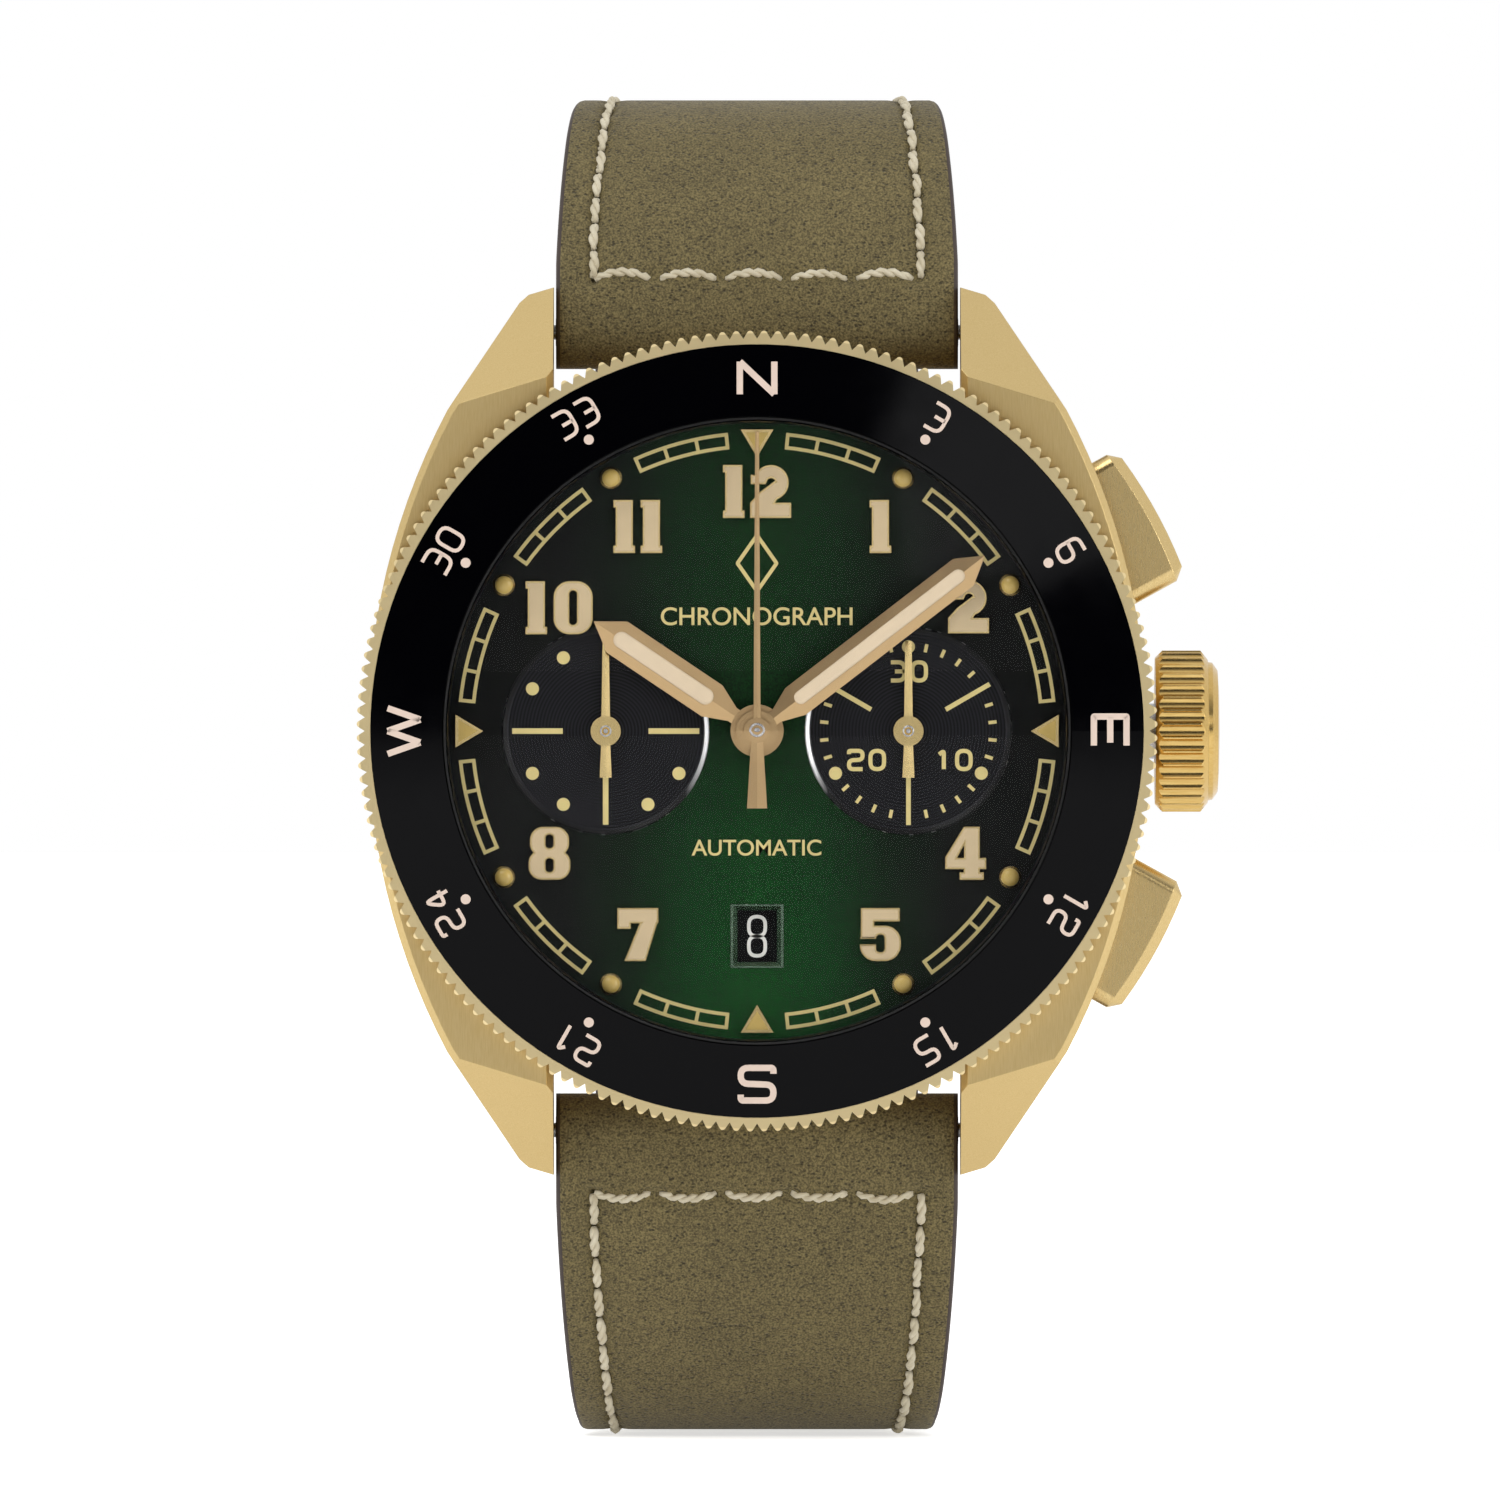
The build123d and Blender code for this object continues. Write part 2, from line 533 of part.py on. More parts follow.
CENTRE = (0.0, 0.0)
FOURTH = (-SUBDIAL_OFFSET, 0.0)
COUNTER = (SUBDIAL_OFFSET, 0.0)
TRAIN_MODULE = 0.12
CENTRE_TEETH = 80
THIRD_PINION = 10
THIRD_TEETH = 75
FOURTH_PINION = 10
BARREL_MODULE = 0.14
BARREL_TEETH = 78
CENTRE_PINION = 12
MOTION_MODULE = 0.14
CANNON_TEETH = 12
MINUTE_WHEEL_TEETH = 36
MINUTE_PINION = 10
HOUR_TEETH = 40


def third_place():
    """Third arbor: at the mesh distance from both the centre and the fourth arbor."""
    from_centre = TRAIN_MODULE * (CENTRE_TEETH + THIRD_PINION) / 2
    from_fourth = TRAIN_MODULE * (THIRD_TEETH + FOURTH_PINION) / 2
    along_x = (SUBDIAL_OFFSET**2 + from_centre**2 - from_fourth**2) / (2 * SUBDIAL_OFFSET)
    return -along_x, math.sqrt(from_centre**2 - along_x**2)


def beside(start, distance, degrees):
    step = polar(distance, degrees)
    return start[0] + step[0], start[1] + step[1]


THIRD = third_place()
BARREL_PLACE = beside(CENTRE, BARREL_MODULE * (BARREL_TEETH + CENTRE_PINION) / 2, 65)
ESCAPE = beside(FOURTH, 4.62, -105)
PALLET = beside(ESCAPE, 2.75, -50)
BALANCE = beside(PALLET, 3.55, -50)
MINUTE_WHEEL_PLACE = beside(CENTRE, MOTION_MODULE * (CANNON_TEETH + MINUTE_WHEEL_TEETH) / 2, -90)
HOUR_MODULE = MOTION_MODULE * (CANNON_TEETH + MINUTE_WHEEL_TEETH) / (MINUTE_PINION + HOUR_TEETH)
COUNTER_IDLER = (4.4, -2.6)
BALANCE_RADIUS = 2.7
BARREL_TOP = 5.35


def gear(teeth, module, low, high, at, tooth_towards=None, gap_towards=None, hole=0.0):
    """A spur wheel with a tooth, or a gap, pointing in a given direction."""
    pitch_radius = module * teeth / 2
    tip = pitch_radius + GEAR_ADDENDUM * module
    root = pitch_radius - GEAR_DEDENDUM * module
    pitch = 360 / teeth
    first = tooth_towards if gap_towards is None else gap_towards + pitch / 2
    points = []
    for index in range(teeth):
        middle = first + pitch * index
        for radius, share in ((root, -0.62), (tip, -0.38), (tip, 0.38), (root, 0.62)):
            points.append(polar(radius, middle + share * pitch * GEAR_TOOTH_SHARE))
    face = make_face(Polyline(*points, close=True))
    if hole:
        face -= Circle(hole)
    return Pos(at[0], at[1], low) * extrude(face, high - low)


def spoked(wheel, at, inner, outer, low, high, spokes=4):
    """Cut the windows between a wheel's spokes."""
    for index in range(spokes):
        window = Circle(outer) - Circle(inner) - Rectangle(0.4, 3 * outer) - Rectangle(3 * outer, 0.4)
        quadrant = window & (Pos(outer, outer) * Rectangle(2 * outer, 2 * outer))
        wheel -= Pos(at[0], at[1], low - 1) * Rot(0, 0, 45 + 90 * index) * extrude(quadrant, high - low + 2)
    return wheel


def arbor(at, radius=0.25):
    """An arbor between bridge and mainplate, with a thin pivot running in each."""
    body = disc(radius, BRIDGE_HIGH + 0.1, PLATE_LOW - 0.05, at=at)
    return body + disc(PIVOT_RADIUS, BRIDGE_LOW + 0.1, PLATE_LOW + 0.5, at=at)


def centre_wheel():
    """Centre wheel, its pinion and its hollow arbor."""
    to_third = bearing_deg(CENTRE, THIRD)
    to_barrel = bearing_deg(CENTRE, BARREL_PLACE)
    wheel = gear(CENTRE_TEETH, TRAIN_MODULE, 6.5, 6.7, CENTRE, tooth_towards=to_third)
    wheel = spoked(wheel, CENTRE, 1.3, 4.2, 6.5, 6.7)
    wheel += gear(CENTRE_PINION, BARREL_MODULE, 4.95, 5.45, CENTRE, gap_towards=to_barrel)
    wheel += disc(CENTRE_ARBOR_RADIUS + 0.25, 5.4, 6.6)
    wheel += disc(CENTRE_ARBOR_RADIUS, BRIDGE_LOW + 0.1, 8.9)
    return wheel - disc(CHRONO_ARBOR_RADIUS + RUNNING + 0.02, 0, 20)


def cannon_pinion():
    """Friction-fitted pipe that carries the minute hand."""
    pipe = gear(CANNON_TEETH, MOTION_MODULE, 8.15, 8.5, CENTRE, tooth_towards=-90)
    pipe += disc(CANNON_RADIUS, 8.15, MINUTE_LOW + HAND_RIDGE)
    pipe -= disc(CENTRE_ARBOR_RADIUS, 0, 8.9 + SEATED)
    return pipe - disc(CHRONO_ARBOR_RADIUS + RUNNING + 0.02, 0, 20)


def minute_wheel():
    wheel = gear(MINUTE_WHEEL_TEETH, MOTION_MODULE, 8.2, 8.4, MINUTE_WHEEL_PLACE, gap_towards=90)
    wheel += gear(MINUTE_PINION, HOUR_MODULE, 8.4, 8.9, MINUTE_WHEEL_PLACE, tooth_towards=90)
    return wheel - disc(0.25 + RUNNING, 0, 20, at=MINUTE_WHEEL_PLACE)


def hour_wheel():
    wheel = gear(HOUR_TEETH, HOUR_MODULE, 8.6, 8.8, CENTRE, gap_towards=-90)
    wheel += disc(HOUR_PIPE_RADIUS, 8.6, HOUR_LOW + HAND_RIDGE)
    return wheel - disc(CANNON_RADIUS + RUNNING, 0, 20)


def third_wheel():
    wheel = gear(THIRD_TEETH, TRAIN_MODULE, 6.05, 6.25, THIRD, tooth_towards=bearing_deg(THIRD, FOURTH))
    wheel = spoked(wheel, THIRD, 1.0, 3.9, 6.05, 6.25)
    wheel += gear(THIRD_PINION, TRAIN_MODULE, 6.35, 6.8, THIRD, gap_towards=bearing_deg(THIRD, CENTRE))
    return wheel + arbor(THIRD)


def fourth_wheel():
    """Fourth wheel on the long arbor of the small seconds."""
    wheel = gear(84, 0.1, 5.55, 5.75, FOURTH, tooth_towards=bearing_deg(FOURTH, ESCAPE))
    wheel = spoked(wheel, FOURTH, 0.9, 3.6, 5.55, 5.75)
    wheel += gear(FOURTH_PINION, TRAIN_MODULE, 5.95, 6.35, FOURTH, gap_towards=bearing_deg(FOURTH, THIRD))
    wheel += disc(0.25, BRIDGE_HIGH + 0.1, PLATE_LOW - 0.1, at=FOURTH)
    wheel += disc(PIVOT_RADIUS, BRIDGE_LOW + 0.1, PLATE_LOW, at=FOURTH)
    return wheel + disc(REGISTER_ARBOR_RADIUS, PLATE_LOW - 0.5, REGISTER_LOW + 0.2, at=FOURTH)


def barrel():
    """Mainspring barrel: toothed drum, open inside for the spring, turning on its arbor."""
    towards = bearing_deg(BARREL_PLACE, CENTRE)
    drum = gear(BARREL_TEETH, BARREL_MODULE, 5.05, BARREL_TOP, BARREL_PLACE, tooth_towards=towards)
    drum += disc(5.15, 4.25, 5.1, at=BARREL_PLACE)
    drum -= disc(4.85, 4.4, 5.15, at=BARREL_PLACE)
    return drum - disc(BARREL_ARBOR_RADIUS + RUNNING, 0, 20, at=BARREL_PLACE)


BARREL_ARBOR_RADIUS = 0.8


def spiral(inner, step, turns, wire, low, high, at):
    """A flat spiral spring built of half turns about two centres."""
    outside = []
    inside = []
    for index in range(2 * turns):
        centre = 0.0 if index % 2 == 0 else step
        side = 1 if index % 2 == 0 else -1
        for edges, shift in ((outside, wire / 2), (inside, -wire / 2)):
            radius = inner + step * index + shift
            points = [(centre + side * radius, 0), (centre, side * radius), (centre - side * radius, 0)]
            edges.append(ThreePointArc(*points))
    first = Line(inside[0] @ 0, outside[0] @ 0)
    last = Line(inside[-1] @ 1, outside[-1] @ 1)
    face = make_face(Curve() + outside + inside + [first, last])
    return Pos(at[0], at[1], low) * extrude(face, high - low)


def mainspring():
    return spiral(1.2, 0.25, 7, 0.14, 4.5, 5.05, BARREL_PLACE)


def escape_wheel():
    """Club-toothed escape wheel and its pinion, just clear of the fourth wheel."""
    outline = []
    for index in range(20):
        base = 18 * index
        outline += [polar(1.55, base), polar(1.95, base + 7), polar(1.98, base + 9), polar(1.55, base + 6)]
    wheel = Pos(ESCAPE[0], ESCAPE[1], 5.98) * extrude(make_face(Polyline(*outline, close=True)), 0.15)
    wheel = spoked(wheel, ESCAPE, 0.5, 1.3, 5.98, 6.13)
    pinion = gear(7, 0.09, 5.45, 5.95, ESCAPE, gap_towards=bearing_deg(ESCAPE, FOURTH))
    return wheel + pinion + arbor(ESCAPE, 0.2)


def pallet_fork():
    """Anchor with two pallets that reach round the escape wheel, and a forked tail."""
    lever = make_face(Polyline((-0.16, 0), (0.16, 0), (0.1, 2.5), (0.42, 3.0), (0.28, 3.0), (0, 2.72),
                               (-0.28, 3.0), (-0.42, 3.0), (-0.1, 2.5), close=True))
    arms = make_face(Polyline((-1.5, -0.42), (-1.3, -0.62), (-0.3, -0.28), (0.3, -0.28), (1.3, -0.62),
                              (1.5, -0.42), (0.35, 0.22), (-0.35, 0.22), close=True))
    turn = bearing_deg(PALLET, BALANCE) - 90
    blade = Pos(PALLET[0], PALLET[1], 5.95) * Rot(0, 0, turn) * extrude(lever + arms, 0.2)
    return blade + arbor(PALLET, 0.2)


def balance_wheel():
    """Balance rim with two arms, staff and roller."""
    rim = disc(BALANCE_RADIUS, 5.2, 5.55, BALANCE_RADIUS - 0.35, at=BALANCE)
    arms = upright_box((-BALANCE_RADIUS + 0.2, -0.2, 5.25), (BALANCE_RADIUS - 0.2, 0.2, 5.5))
    rim += Pos(BALANCE[0], BALANCE[1], 0) * arms
    rim += disc(0.4, 5.8, 6.2, at=BALANCE)
    return rim + arbor(BALANCE)


def hairspring():
    return spiral(0.34, 0.12, 6, 0.07, 4.6, 4.75, BALANCE)


def chrono_runner():
    """Chronograph runner: fine-toothed wheel with one finger on the long centre arbor."""
    wheel = gear(90, 0.055, 3.12, 3.3, CENTRE, tooth_towards=0)
    wheel = spoked(wheel, CENTRE, 0.8, 2.0, 3.12, 3.3)
    wheel += upright_box((-0.12, 2.2, 3.15), (0.12, 2.6, 3.3))
    wheel += disc(0.5, 3.12, 3.4)
    return wheel + disc(CHRONO_ARBOR_RADIUS, 3.1, CHRONO_LOW + 0.24)


def counter_wheel(at, towards, mesh):
    """One of the two 30-tooth wheels of the minute counter."""
    module = math.dist(COUNTER_IDLER, COUNTER) / 30
    return gear(30, module, 3.12, 3.32, at, **{mesh: towards})


def counter_idler():
    wheel = counter_wheel(COUNTER_IDLER, bearing_deg(COUNTER_IDLER, COUNTER), "tooth_towards")
    return wheel + disc(PIVOT_RADIUS, 3.15, 3.95, at=COUNTER_IDLER)


def minute_counter_wheel():
    wheel = counter_wheel(COUNTER, bearing_deg(COUNTER, COUNTER_IDLER), "gap_towards")
    return wheel + disc(REGISTER_ARBOR_RADIUS, 3.15, REGISTER_LOW + 0.2, at=COUNTER)


def rotor():
    """Half-round winding weight with a thick rim, on a hub round the bridge's post."""
    post = ROTOR_POST_RADIUS + RUNNING
    web = disc(14.2, ROTOR_LOW, ROTOR_LOW + 0.35, post)
    rim = disc(14.2, ROTOR_LOW, 3.25, 11.6)
    half = (web + rim) & upright_box((-20, -20, 0), (20, 0.4, 5))
    for side in (-1, 1):
        half -= Pos(side * 5.6, -5.2, 0) * extrude(Circle(2.3), 5)
    return half + disc(2.3, ROTOR_LOW, ROTOR_LOW + 0.5, post)


ROTOR_POST_RADIUS = 1.2


def automatic_bridge():
    """Bar across the movement with the rotor's post and two feet."""
    low = 2.65
    bar = Pos(0, 0, low) * extrude(Rectangle(3.4, 20.2), 0.32)
    bar += disc(2.6, low, low + 0.32)
    bar += disc(ROTOR_POST_RADIUS, ROTOR_LOW + 0.05, low)
    for y in (9.0, -9.0):
        bar += disc(1.0, low, BRIDGE_LOW, at=(0, y))
    return bar


def pierced(plate, places, low, high, radius):
    for at in places:
        plate -= disc(radius, low, high, at=at)
    return plate


JEWELLED = (THIRD, FOURTH, ESCAPE, PALLET)
SCREW_ANGLES = (20, 65, 110, 155, 195, 290, 335)
SCREW_RING = 14.45
COCK_SCREW = bearing_deg(CENTRE, BALANCE)


def screw_places():
    return [polar(SCREW_RING, degrees) for degrees in SCREW_ANGLES + (COCK_SCREW,)]


def mainplate():
    """Round plate with a standing rim, pierced for every arbor, the stem and the pushers."""
    plate = disc(MOVEMENT_RADIUS, PLATE_LOW, PLATE_HIGH)
    plate += disc(MOVEMENT_RADIUS, BRIDGE_HIGH, PLATE_LOW, 13.9)
    plate -= disc(CENTRE_ARBOR_RADIUS + RUNNING, 0, 20)
    plate = pierced(plate, (FOURTH, COUNTER), 0, 20, REGISTER_ARBOR_RADIUS + RUNNING)
    plate = pierced(plate, (THIRD, ESCAPE, PALLET, BALANCE), 0, PLATE_LOW + 0.6, PIVOT_RADIUS + RUNNING)
    for degrees in (0.0,) + PUSHER_ANGLES:
        plate -= pusher_frame(degrees) * Pos(0, 0, 13) * extrude(Circle(0.75), 3)
    plate = pierced(plate, screw_places(), BRIDGE_HIGH, BRIDGE_HIGH + 1.5, 0.25)
    plate += disc(0.25, PLATE_HIGH, 9.0, at=MINUTE_WHEEL_PLACE)
    plate += disc(BARREL_ARBOR_RADIUS, BRIDGE_HIGH, PLATE_LOW, at=BARREL_PLACE)
    return plate


def cock_area(margin):
    """Plan of the balance cock: a bar from the rim in to the balance staff."""
    outwards = bearing_deg(CENTRE, BALANCE)
    length = MOVEMENT_RADIUS + 1 - math.dist(CENTRE, BALANCE)
    bar = Pos(length / 2, 0) * Rectangle(length, 2.6 + 2 * margin)
    area = Circle(1.3 + margin) + bar
    return Pos(*BALANCE) * Rot(0, 0, outwards) * area


def bridge(area):
    """One bridge: its share of the round plan, with jewel seats and screw sinks cut in."""
    plan = Circle(MOVEMENT_RADIUS) & area
    plate = Pos(0, 0, BRIDGE_LOW) * extrude(plan, BRIDGE_HIGH - BRIDGE_LOW)
    plate = pierced(plate, JEWELLED + (BALANCE,), BRIDGE_LOW - 1, BRIDGE_LOW + 0.3, JEWEL_RADIUS)
    plate = pierced(plate, JEWELLED + (BALANCE,), 0, 20, PIVOT_RADIUS + 0.15)
    plate = pierced(plate, (CENTRE,), 0, 20, CENTRE_ARBOR_RADIUS + RUNNING)
    plate = pierced(plate, (COUNTER,), 0, 20, REGISTER_ARBOR_RADIUS + RUNNING)
    plate = pierced(plate, (COUNTER_IDLER,), 0, 20, PIVOT_RADIUS + RUNNING)
    plate = pierced(plate, screw_places(), BRIDGE_LOW - 1, BRIDGE_LOW + 0.3, 0.52)
    return pierced(plate, screw_places(), 0, 20, 0.27)


BRIDGE_GAP = 0.15


def barrel_bridge():
    return bridge(Pos(0, 1.6 + BRIDGE_GAP + 10) * Rectangle(40, 20))


def train_bridge():
    window = Pos(*BALANCE) * Circle(BALANCE_RADIUS + 0.1)
    area = Pos(0, 1.6 - 10) * Rectangle(40, 20) - window - cock_area(BRIDGE_GAP)
    plan = Circle(MOVEMENT_RADIUS) & area
    largest = max(plan.faces(), key=lambda face: face.area)
    return bridge(Sketch() + largest)


def balance_cock():
    return bridge(cock_area(0.0))


def jewels():
    """Ring jewels set in the bridges."""
    low = BRIDGE_LOW
    return [disc(JEWEL_RADIUS - SEATED, low, low + 0.3, PIVOT_RADIUS + RUNNING, at=at)
            for at in JEWELLED + (BALANCE,)]


def bridge_screws():
    """Slotted screws through the bridges into the mainplate's rim."""
    screws = []
    for index, at in enumerate(screw_places()):
        screw = disc(0.5, 0, 0.3) + disc(0.25 - SEATED, 0, 1.9)
        screw -= upright_box((-1, -0.07, -1), (1, 0.07, 0.12))
        screws.append(Pos(at[0], at[1], BRIDGE_LOW) * Rot(0, 0, 37 * index) * screw)
    return screws


def date_disc():
    """Ring that carries the dates, with 31 inner teeth."""
    inner = DATE_DISC_INNER_RADIUS
    ring = disc(DATE_DISC_OUTER_RADIUS, DATE_DISC_LOW, DATE_DISC_HIGH, inner)
    for index in range(DATES):
        gap = Pos(inner, 0, DATE_DISC_LOW - 1) * extrude(Rectangle(0.8, 0.9), 2)
        ring -= Rot(0, 0, 360 / DATES * index) * gap
    return ring


# ---------------------------------------------------------------- crown and pushers
def crown():
    """Fluted crown with bevelled ends, a stepped cap and a bore for the tube."""
    shoulder = CROWN_LENGTH
    cap = CROWN_LENGTH + CROWN_CAP
    profile = [(0, 0), (CROWN_RADIUS - 0.4, 0), (CROWN_RADIUS, 0.4), (CROWN_RADIUS, shoulder - 0.4),
               (CROWN_RADIUS - 0.5, shoulder), (3.75, shoulder), (3.7, shoulder + 0.25),
               (3.3, cap - 0.12), (2.3, cap - 0.05), (0, cap)]
    body = revolve(Plane.XZ * make_face(Polyline(*profile, close=True)), Axis.Z)
    for index in range(CROWN_FLUTES):
        spot = polar(CROWN_RADIUS + CROWN_FLUTE_RADIUS - CROWN_FLUTE_DEPTH, 360 / CROWN_FLUTES * index)
        body -= Pos(spot[0], spot[1], -1) * extrude(Circle(CROWN_FLUTE_RADIUS), shoulder + 1)
    body -= disc(CROWN_TUBE_RADIUS + 0.4, -1, 1.7)
    body -= disc(STEM_RADIUS, 0, 2.5)
    return Pos(CROWN_INNER_X, 0, STEM_Z) * Rot(0, 90, 0) * body


def winding_stem():
    """Stem from the crown into the movement, with the sliding clutch at its inner end."""
    stem = rod_x(STEM_RADIUS, STEM_INNER_X, CROWN_INNER_X + 2.5, z=STEM_Z)
    return stem + rod_x(0.9, STEM_INNER_X + 1.0, STEM_INNER_X + 2.6, z=STEM_Z)


def crown_tube():
    tube = rod_x(CROWN_TUBE_RADIUS, BORE_RADIUS + 0.2, CROWN_INNER_X + 1.3, z=STEM_Z)
    return tube - rod_x(STEM_RADIUS + RUNNING, 0, 30, z=STEM_Z)


def crown_gasket():
    low = CROWN_INNER_X + 0.25
    ring = rod_x(CROWN_TUBE_RADIUS + 0.35, low, low + 0.4, z=STEM_Z)
    return ring - rod_x(CROWN_TUBE_RADIUS + RUNNING, 0, 30, z=STEM_Z)


TUBE_FLANGE = 0.3


def pusher(degrees):
    """Pusher with a bowed, bevelled outer face, sprung on its stem."""
    bow = ((PUSHER_WIDTH / 2) ** 2 + PUSHER_BULGE**2) / (2 * PUSHER_BULGE)
    block = pusher_block(PUSHER_WIDTH, PUSHER_HEIGHT, PUSHER_INNER_RADIUS, PUSHER_OUTER_RADIUS)
    block &= Pos(0, 0, PUSHER_OUTER_RADIUS - bow) * Rot(90, 0, 0) * Cylinder(bow, PUSHER_HEIGHT + 1)
    face = max(block.faces(), key=lambda part: part.center().Z)
    block = chamfer(face.edges(), PUSHER_BEVEL)
    well = PUSHER_INNER_RADIUS + PUSHER_COUNTERBORE_DEPTH
    block -= Pos(0, 0, PUSHER_INNER_RADIUS - 1) * extrude(Circle(PUSHER_COUNTERBORE), well - PUSHER_INNER_RADIUS + 1)
    start = PUSHER_STEM_INNER_RADIUS
    stem = Pos(0, 0, start) * extrude(Circle(PUSHER_STEM_RADIUS), well + 0.4 - start)
    return pusher_frame(degrees) * (block + stem)


def pusher_tube(degrees):
    """Flanged tube pressed into the pocket's floor."""
    barrel_part = Pos(0, 0, BORE_RADIUS + 0.2) * extrude(
        Circle(PUSHER_TUBE_RADIUS), POCKET_FLOOR_RADIUS - BORE_RADIUS - 0.2)
    flange = Pos(0, 0, POCKET_FLOOR_RADIUS) * extrude(Circle(1.35), TUBE_FLANGE)
    bore = extrude(Circle(PUSHER_STEM_RADIUS + RUNNING), 40)
    return pusher_frame(degrees) * (barrel_part + flange - bore)


def pusher_spring(degrees):
    """Return spring between the tube's flange and the pusher's counterbore."""
    wire = 0.14
    low = POCKET_FLOOR_RADIUS + TUBE_FLANGE + wire + 0.02
    high = PUSHER_INNER_RADIUS + PUSHER_COUNTERBORE_DEPTH - wire - 0.02
    coil_radius = 1.05
    path = Helix(pitch=(high - low) / 4, height=high - low, radius=coil_radius)
    section = Plane(origin=path @ 0, z_dir=path % 0) * Circle(wire)
    return pusher_frame(degrees) * Pos(0, 0, low) * sweep(section, path, is_frenet=True)


# ---------------------------------------------------------------- strap
def route(start, heading, moves):
    """Stretches of a side view's route; each move is (length, degrees turned, left positive)."""
    stretches = []
    y, z = start
    angle = math.radians(heading)
    travelled = 0.0
    for length, turn in moves:
        bend = math.radians(turn) / length
        stretch = {"length": length, "y": y, "z": z, "angle": angle, "bend": bend, "from": travelled}
        stretches.append(stretch)
        y, z = along(stretch, length)
        angle += math.radians(turn)
        travelled += length
    return stretches


def along(stretch, distance, offset=0.0):
    """The point a distance along a stretch, offset to its left."""
    start = stretch["angle"]
    bend = stretch["bend"]
    angle = start + bend * distance
    if bend:
        y = stretch["y"] + (math.sin(angle) - math.sin(start)) / bend
        z = stretch["z"] - (math.cos(angle) - math.cos(start)) / bend
    else:
        y = stretch["y"] + distance * math.cos(start)
        z = stretch["z"] + distance * math.sin(start)
    return y - offset * math.sin(angle), z + offset * math.cos(angle)


def strap_half_thickness(travelled):
    taper = max(0.0, 1 - travelled / STRAP_PAD_LENGTH)
    return (STRAP_THICKNESS + (STRAP_LUG_THICKNESS - STRAP_THICKNESS) * taper) / 2


def strap_side(stretches):
    """Side view of a strap half: its route, thickened on both sides."""
    edges = []
    for side in (1, -1):
        for stretch in stretches:
            points = []
            for share in (0, 0.5, 1):
                distance = share * stretch["length"]
                half = strap_half_thickness(stretch["from"] + distance)
                points.append(along(stretch, distance, side * half))
            if stretch["bend"] or stretch["from"] < STRAP_PAD_LENGTH:
                edges.append(ThreePointArc(*points))
            else:
                edges.append(Line(points[0], points[2]))
    count = len(stretches)
    edges.append(Line(edges[0] @ 0, edges[count] @ 0))
    edges.append(Line(edges[count - 1] @ 1, edges[-2] @ 1))
    return make_face(Curve() + edges)


def extrude_x(face, half_width):
    """Carry a face drawn in (y, z) to both sides along x."""
    return Plane.YZ * extrude(face, half_width, both=True)


def strap_taper():
    """Front outline of the strap's width, full at the lugs and narrow at the buckle."""
    full = LUG_GAP / 2 - STRAP_CLEAR
    bend = STRAP_BEND_WIDTH / 2
    end = STRAP_BUCKLE_WIDTH / 2
    points = mirrored([(full, 8.0), (full, 0.5), (bend, -7.0), (end, -26.0), (end, -60.0)])
    return Plane.XZ * extrude(make_face(Polyline(*points, close=True)), 60, both=True)


def strap_lug_end(y):
    """Rolled end of the strap round a spring bar."""
    roll = extrude_x(Pos(y, SPRING_BAR_Z) * Circle(STRAP_LUG_THICKNESS / 2), LUG_GAP / 2 - STRAP_CLEAR)
    return roll


def spring_bar_bore(y):
    return rod_x(SPRING_BAR_RADIUS + SEATED, -20, 20, y=y, z=SPRING_BAR_Z)


def arc_move(degrees, radius, side):
    return math.radians(degrees) * radius, side * degrees


STRAP_LAYER_GAP = 0.2         # between the two halves where they overlap
UPPER_LAST_RADIUS = 12.0
LOWER_LAST_RADIUS = 20.0
UPPER_MOVES = [arc_move(34, 17.5, -1), arc_move(48, 7.0, -1), arc_move(20, 73.7, -1),
               arc_move(70, UPPER_LAST_RADIUS, -1)]
LOWER_MOVES = [arc_move(34, 24.5, 1), arc_move(48, 7.0, 1), arc_move(20, 56.0, 1)]
TAIL_TURN = 66                # degrees that the tail follows the bend of the other half
TONGUE_WIDTH = 1.7
TONGUE_HOLE_LENGTH = 4.3
TONGUE_HOLE_SHIFT = -0.75     # middle of the tongue's hole, from the hinge bar along y


def end_of(stretches):
    return along(stretches[-1], stretches[-1]["length"])


def upper_bend_end():
    return end_of(route((SPRING_BAR_Y, SPRING_BAR_Z), -8, UPPER_MOVES))


def upper_route():
    """12 o'clock half: lug, wrist bend, back of the wrist, to the buckle's hinge bar."""
    straight = (upper_bend_end()[0] - BUCKLE_BAR_Y, 0)
    return route((SPRING_BAR_Y, SPRING_BAR_Z), -8, UPPER_MOVES + [straight])


BUCKLE_BAR = (BUCKLE_BAR_Y, upper_bend_end()[1])
LAYER_PITCH = STRAP_THICKNESS + STRAP_LAYER_GAP
LOWER_FLAT_Z = BUCKLE_BAR[1] - LAYER_PITCH
BUCKLE_FRONT_BAR = (BUCKLE_BAR_Y - BUCKLE_REACH,
                    LOWER_FLAT_Z - STRAP_THICKNESS / 2 - 0.1 - BUCKLE_BAR_RADIUS)


def lower_route():
    """6 o'clock half: lug, bend, through the buckle, then outside the other half to its tail."""
    start = (-SPRING_BAR_Y, SPRING_BAR_Z)
    heading = 188
    last_bend = arc_move(70, LOWER_LAST_RADIUS, 1)
    side = LOWER_MOVES + [(1.0, 0), last_bend]
    # the side's straight is as long as brings the flat to its layer outside the other half
    fall = math.sin(math.radians(70))
    side[-2] = (1.0 + (end_of(route(start, heading, side))[1] - LOWER_FLAT_Z) / fall, 0)
    flat = (upper_bend_end()[0] - end_of(route(start, heading, side))[0], 0)
    tail = arc_move(TAIL_TURN, UPPER_LAST_RADIUS + LAYER_PITCH, 1)
    return route(start, heading, side + [flat, tail])


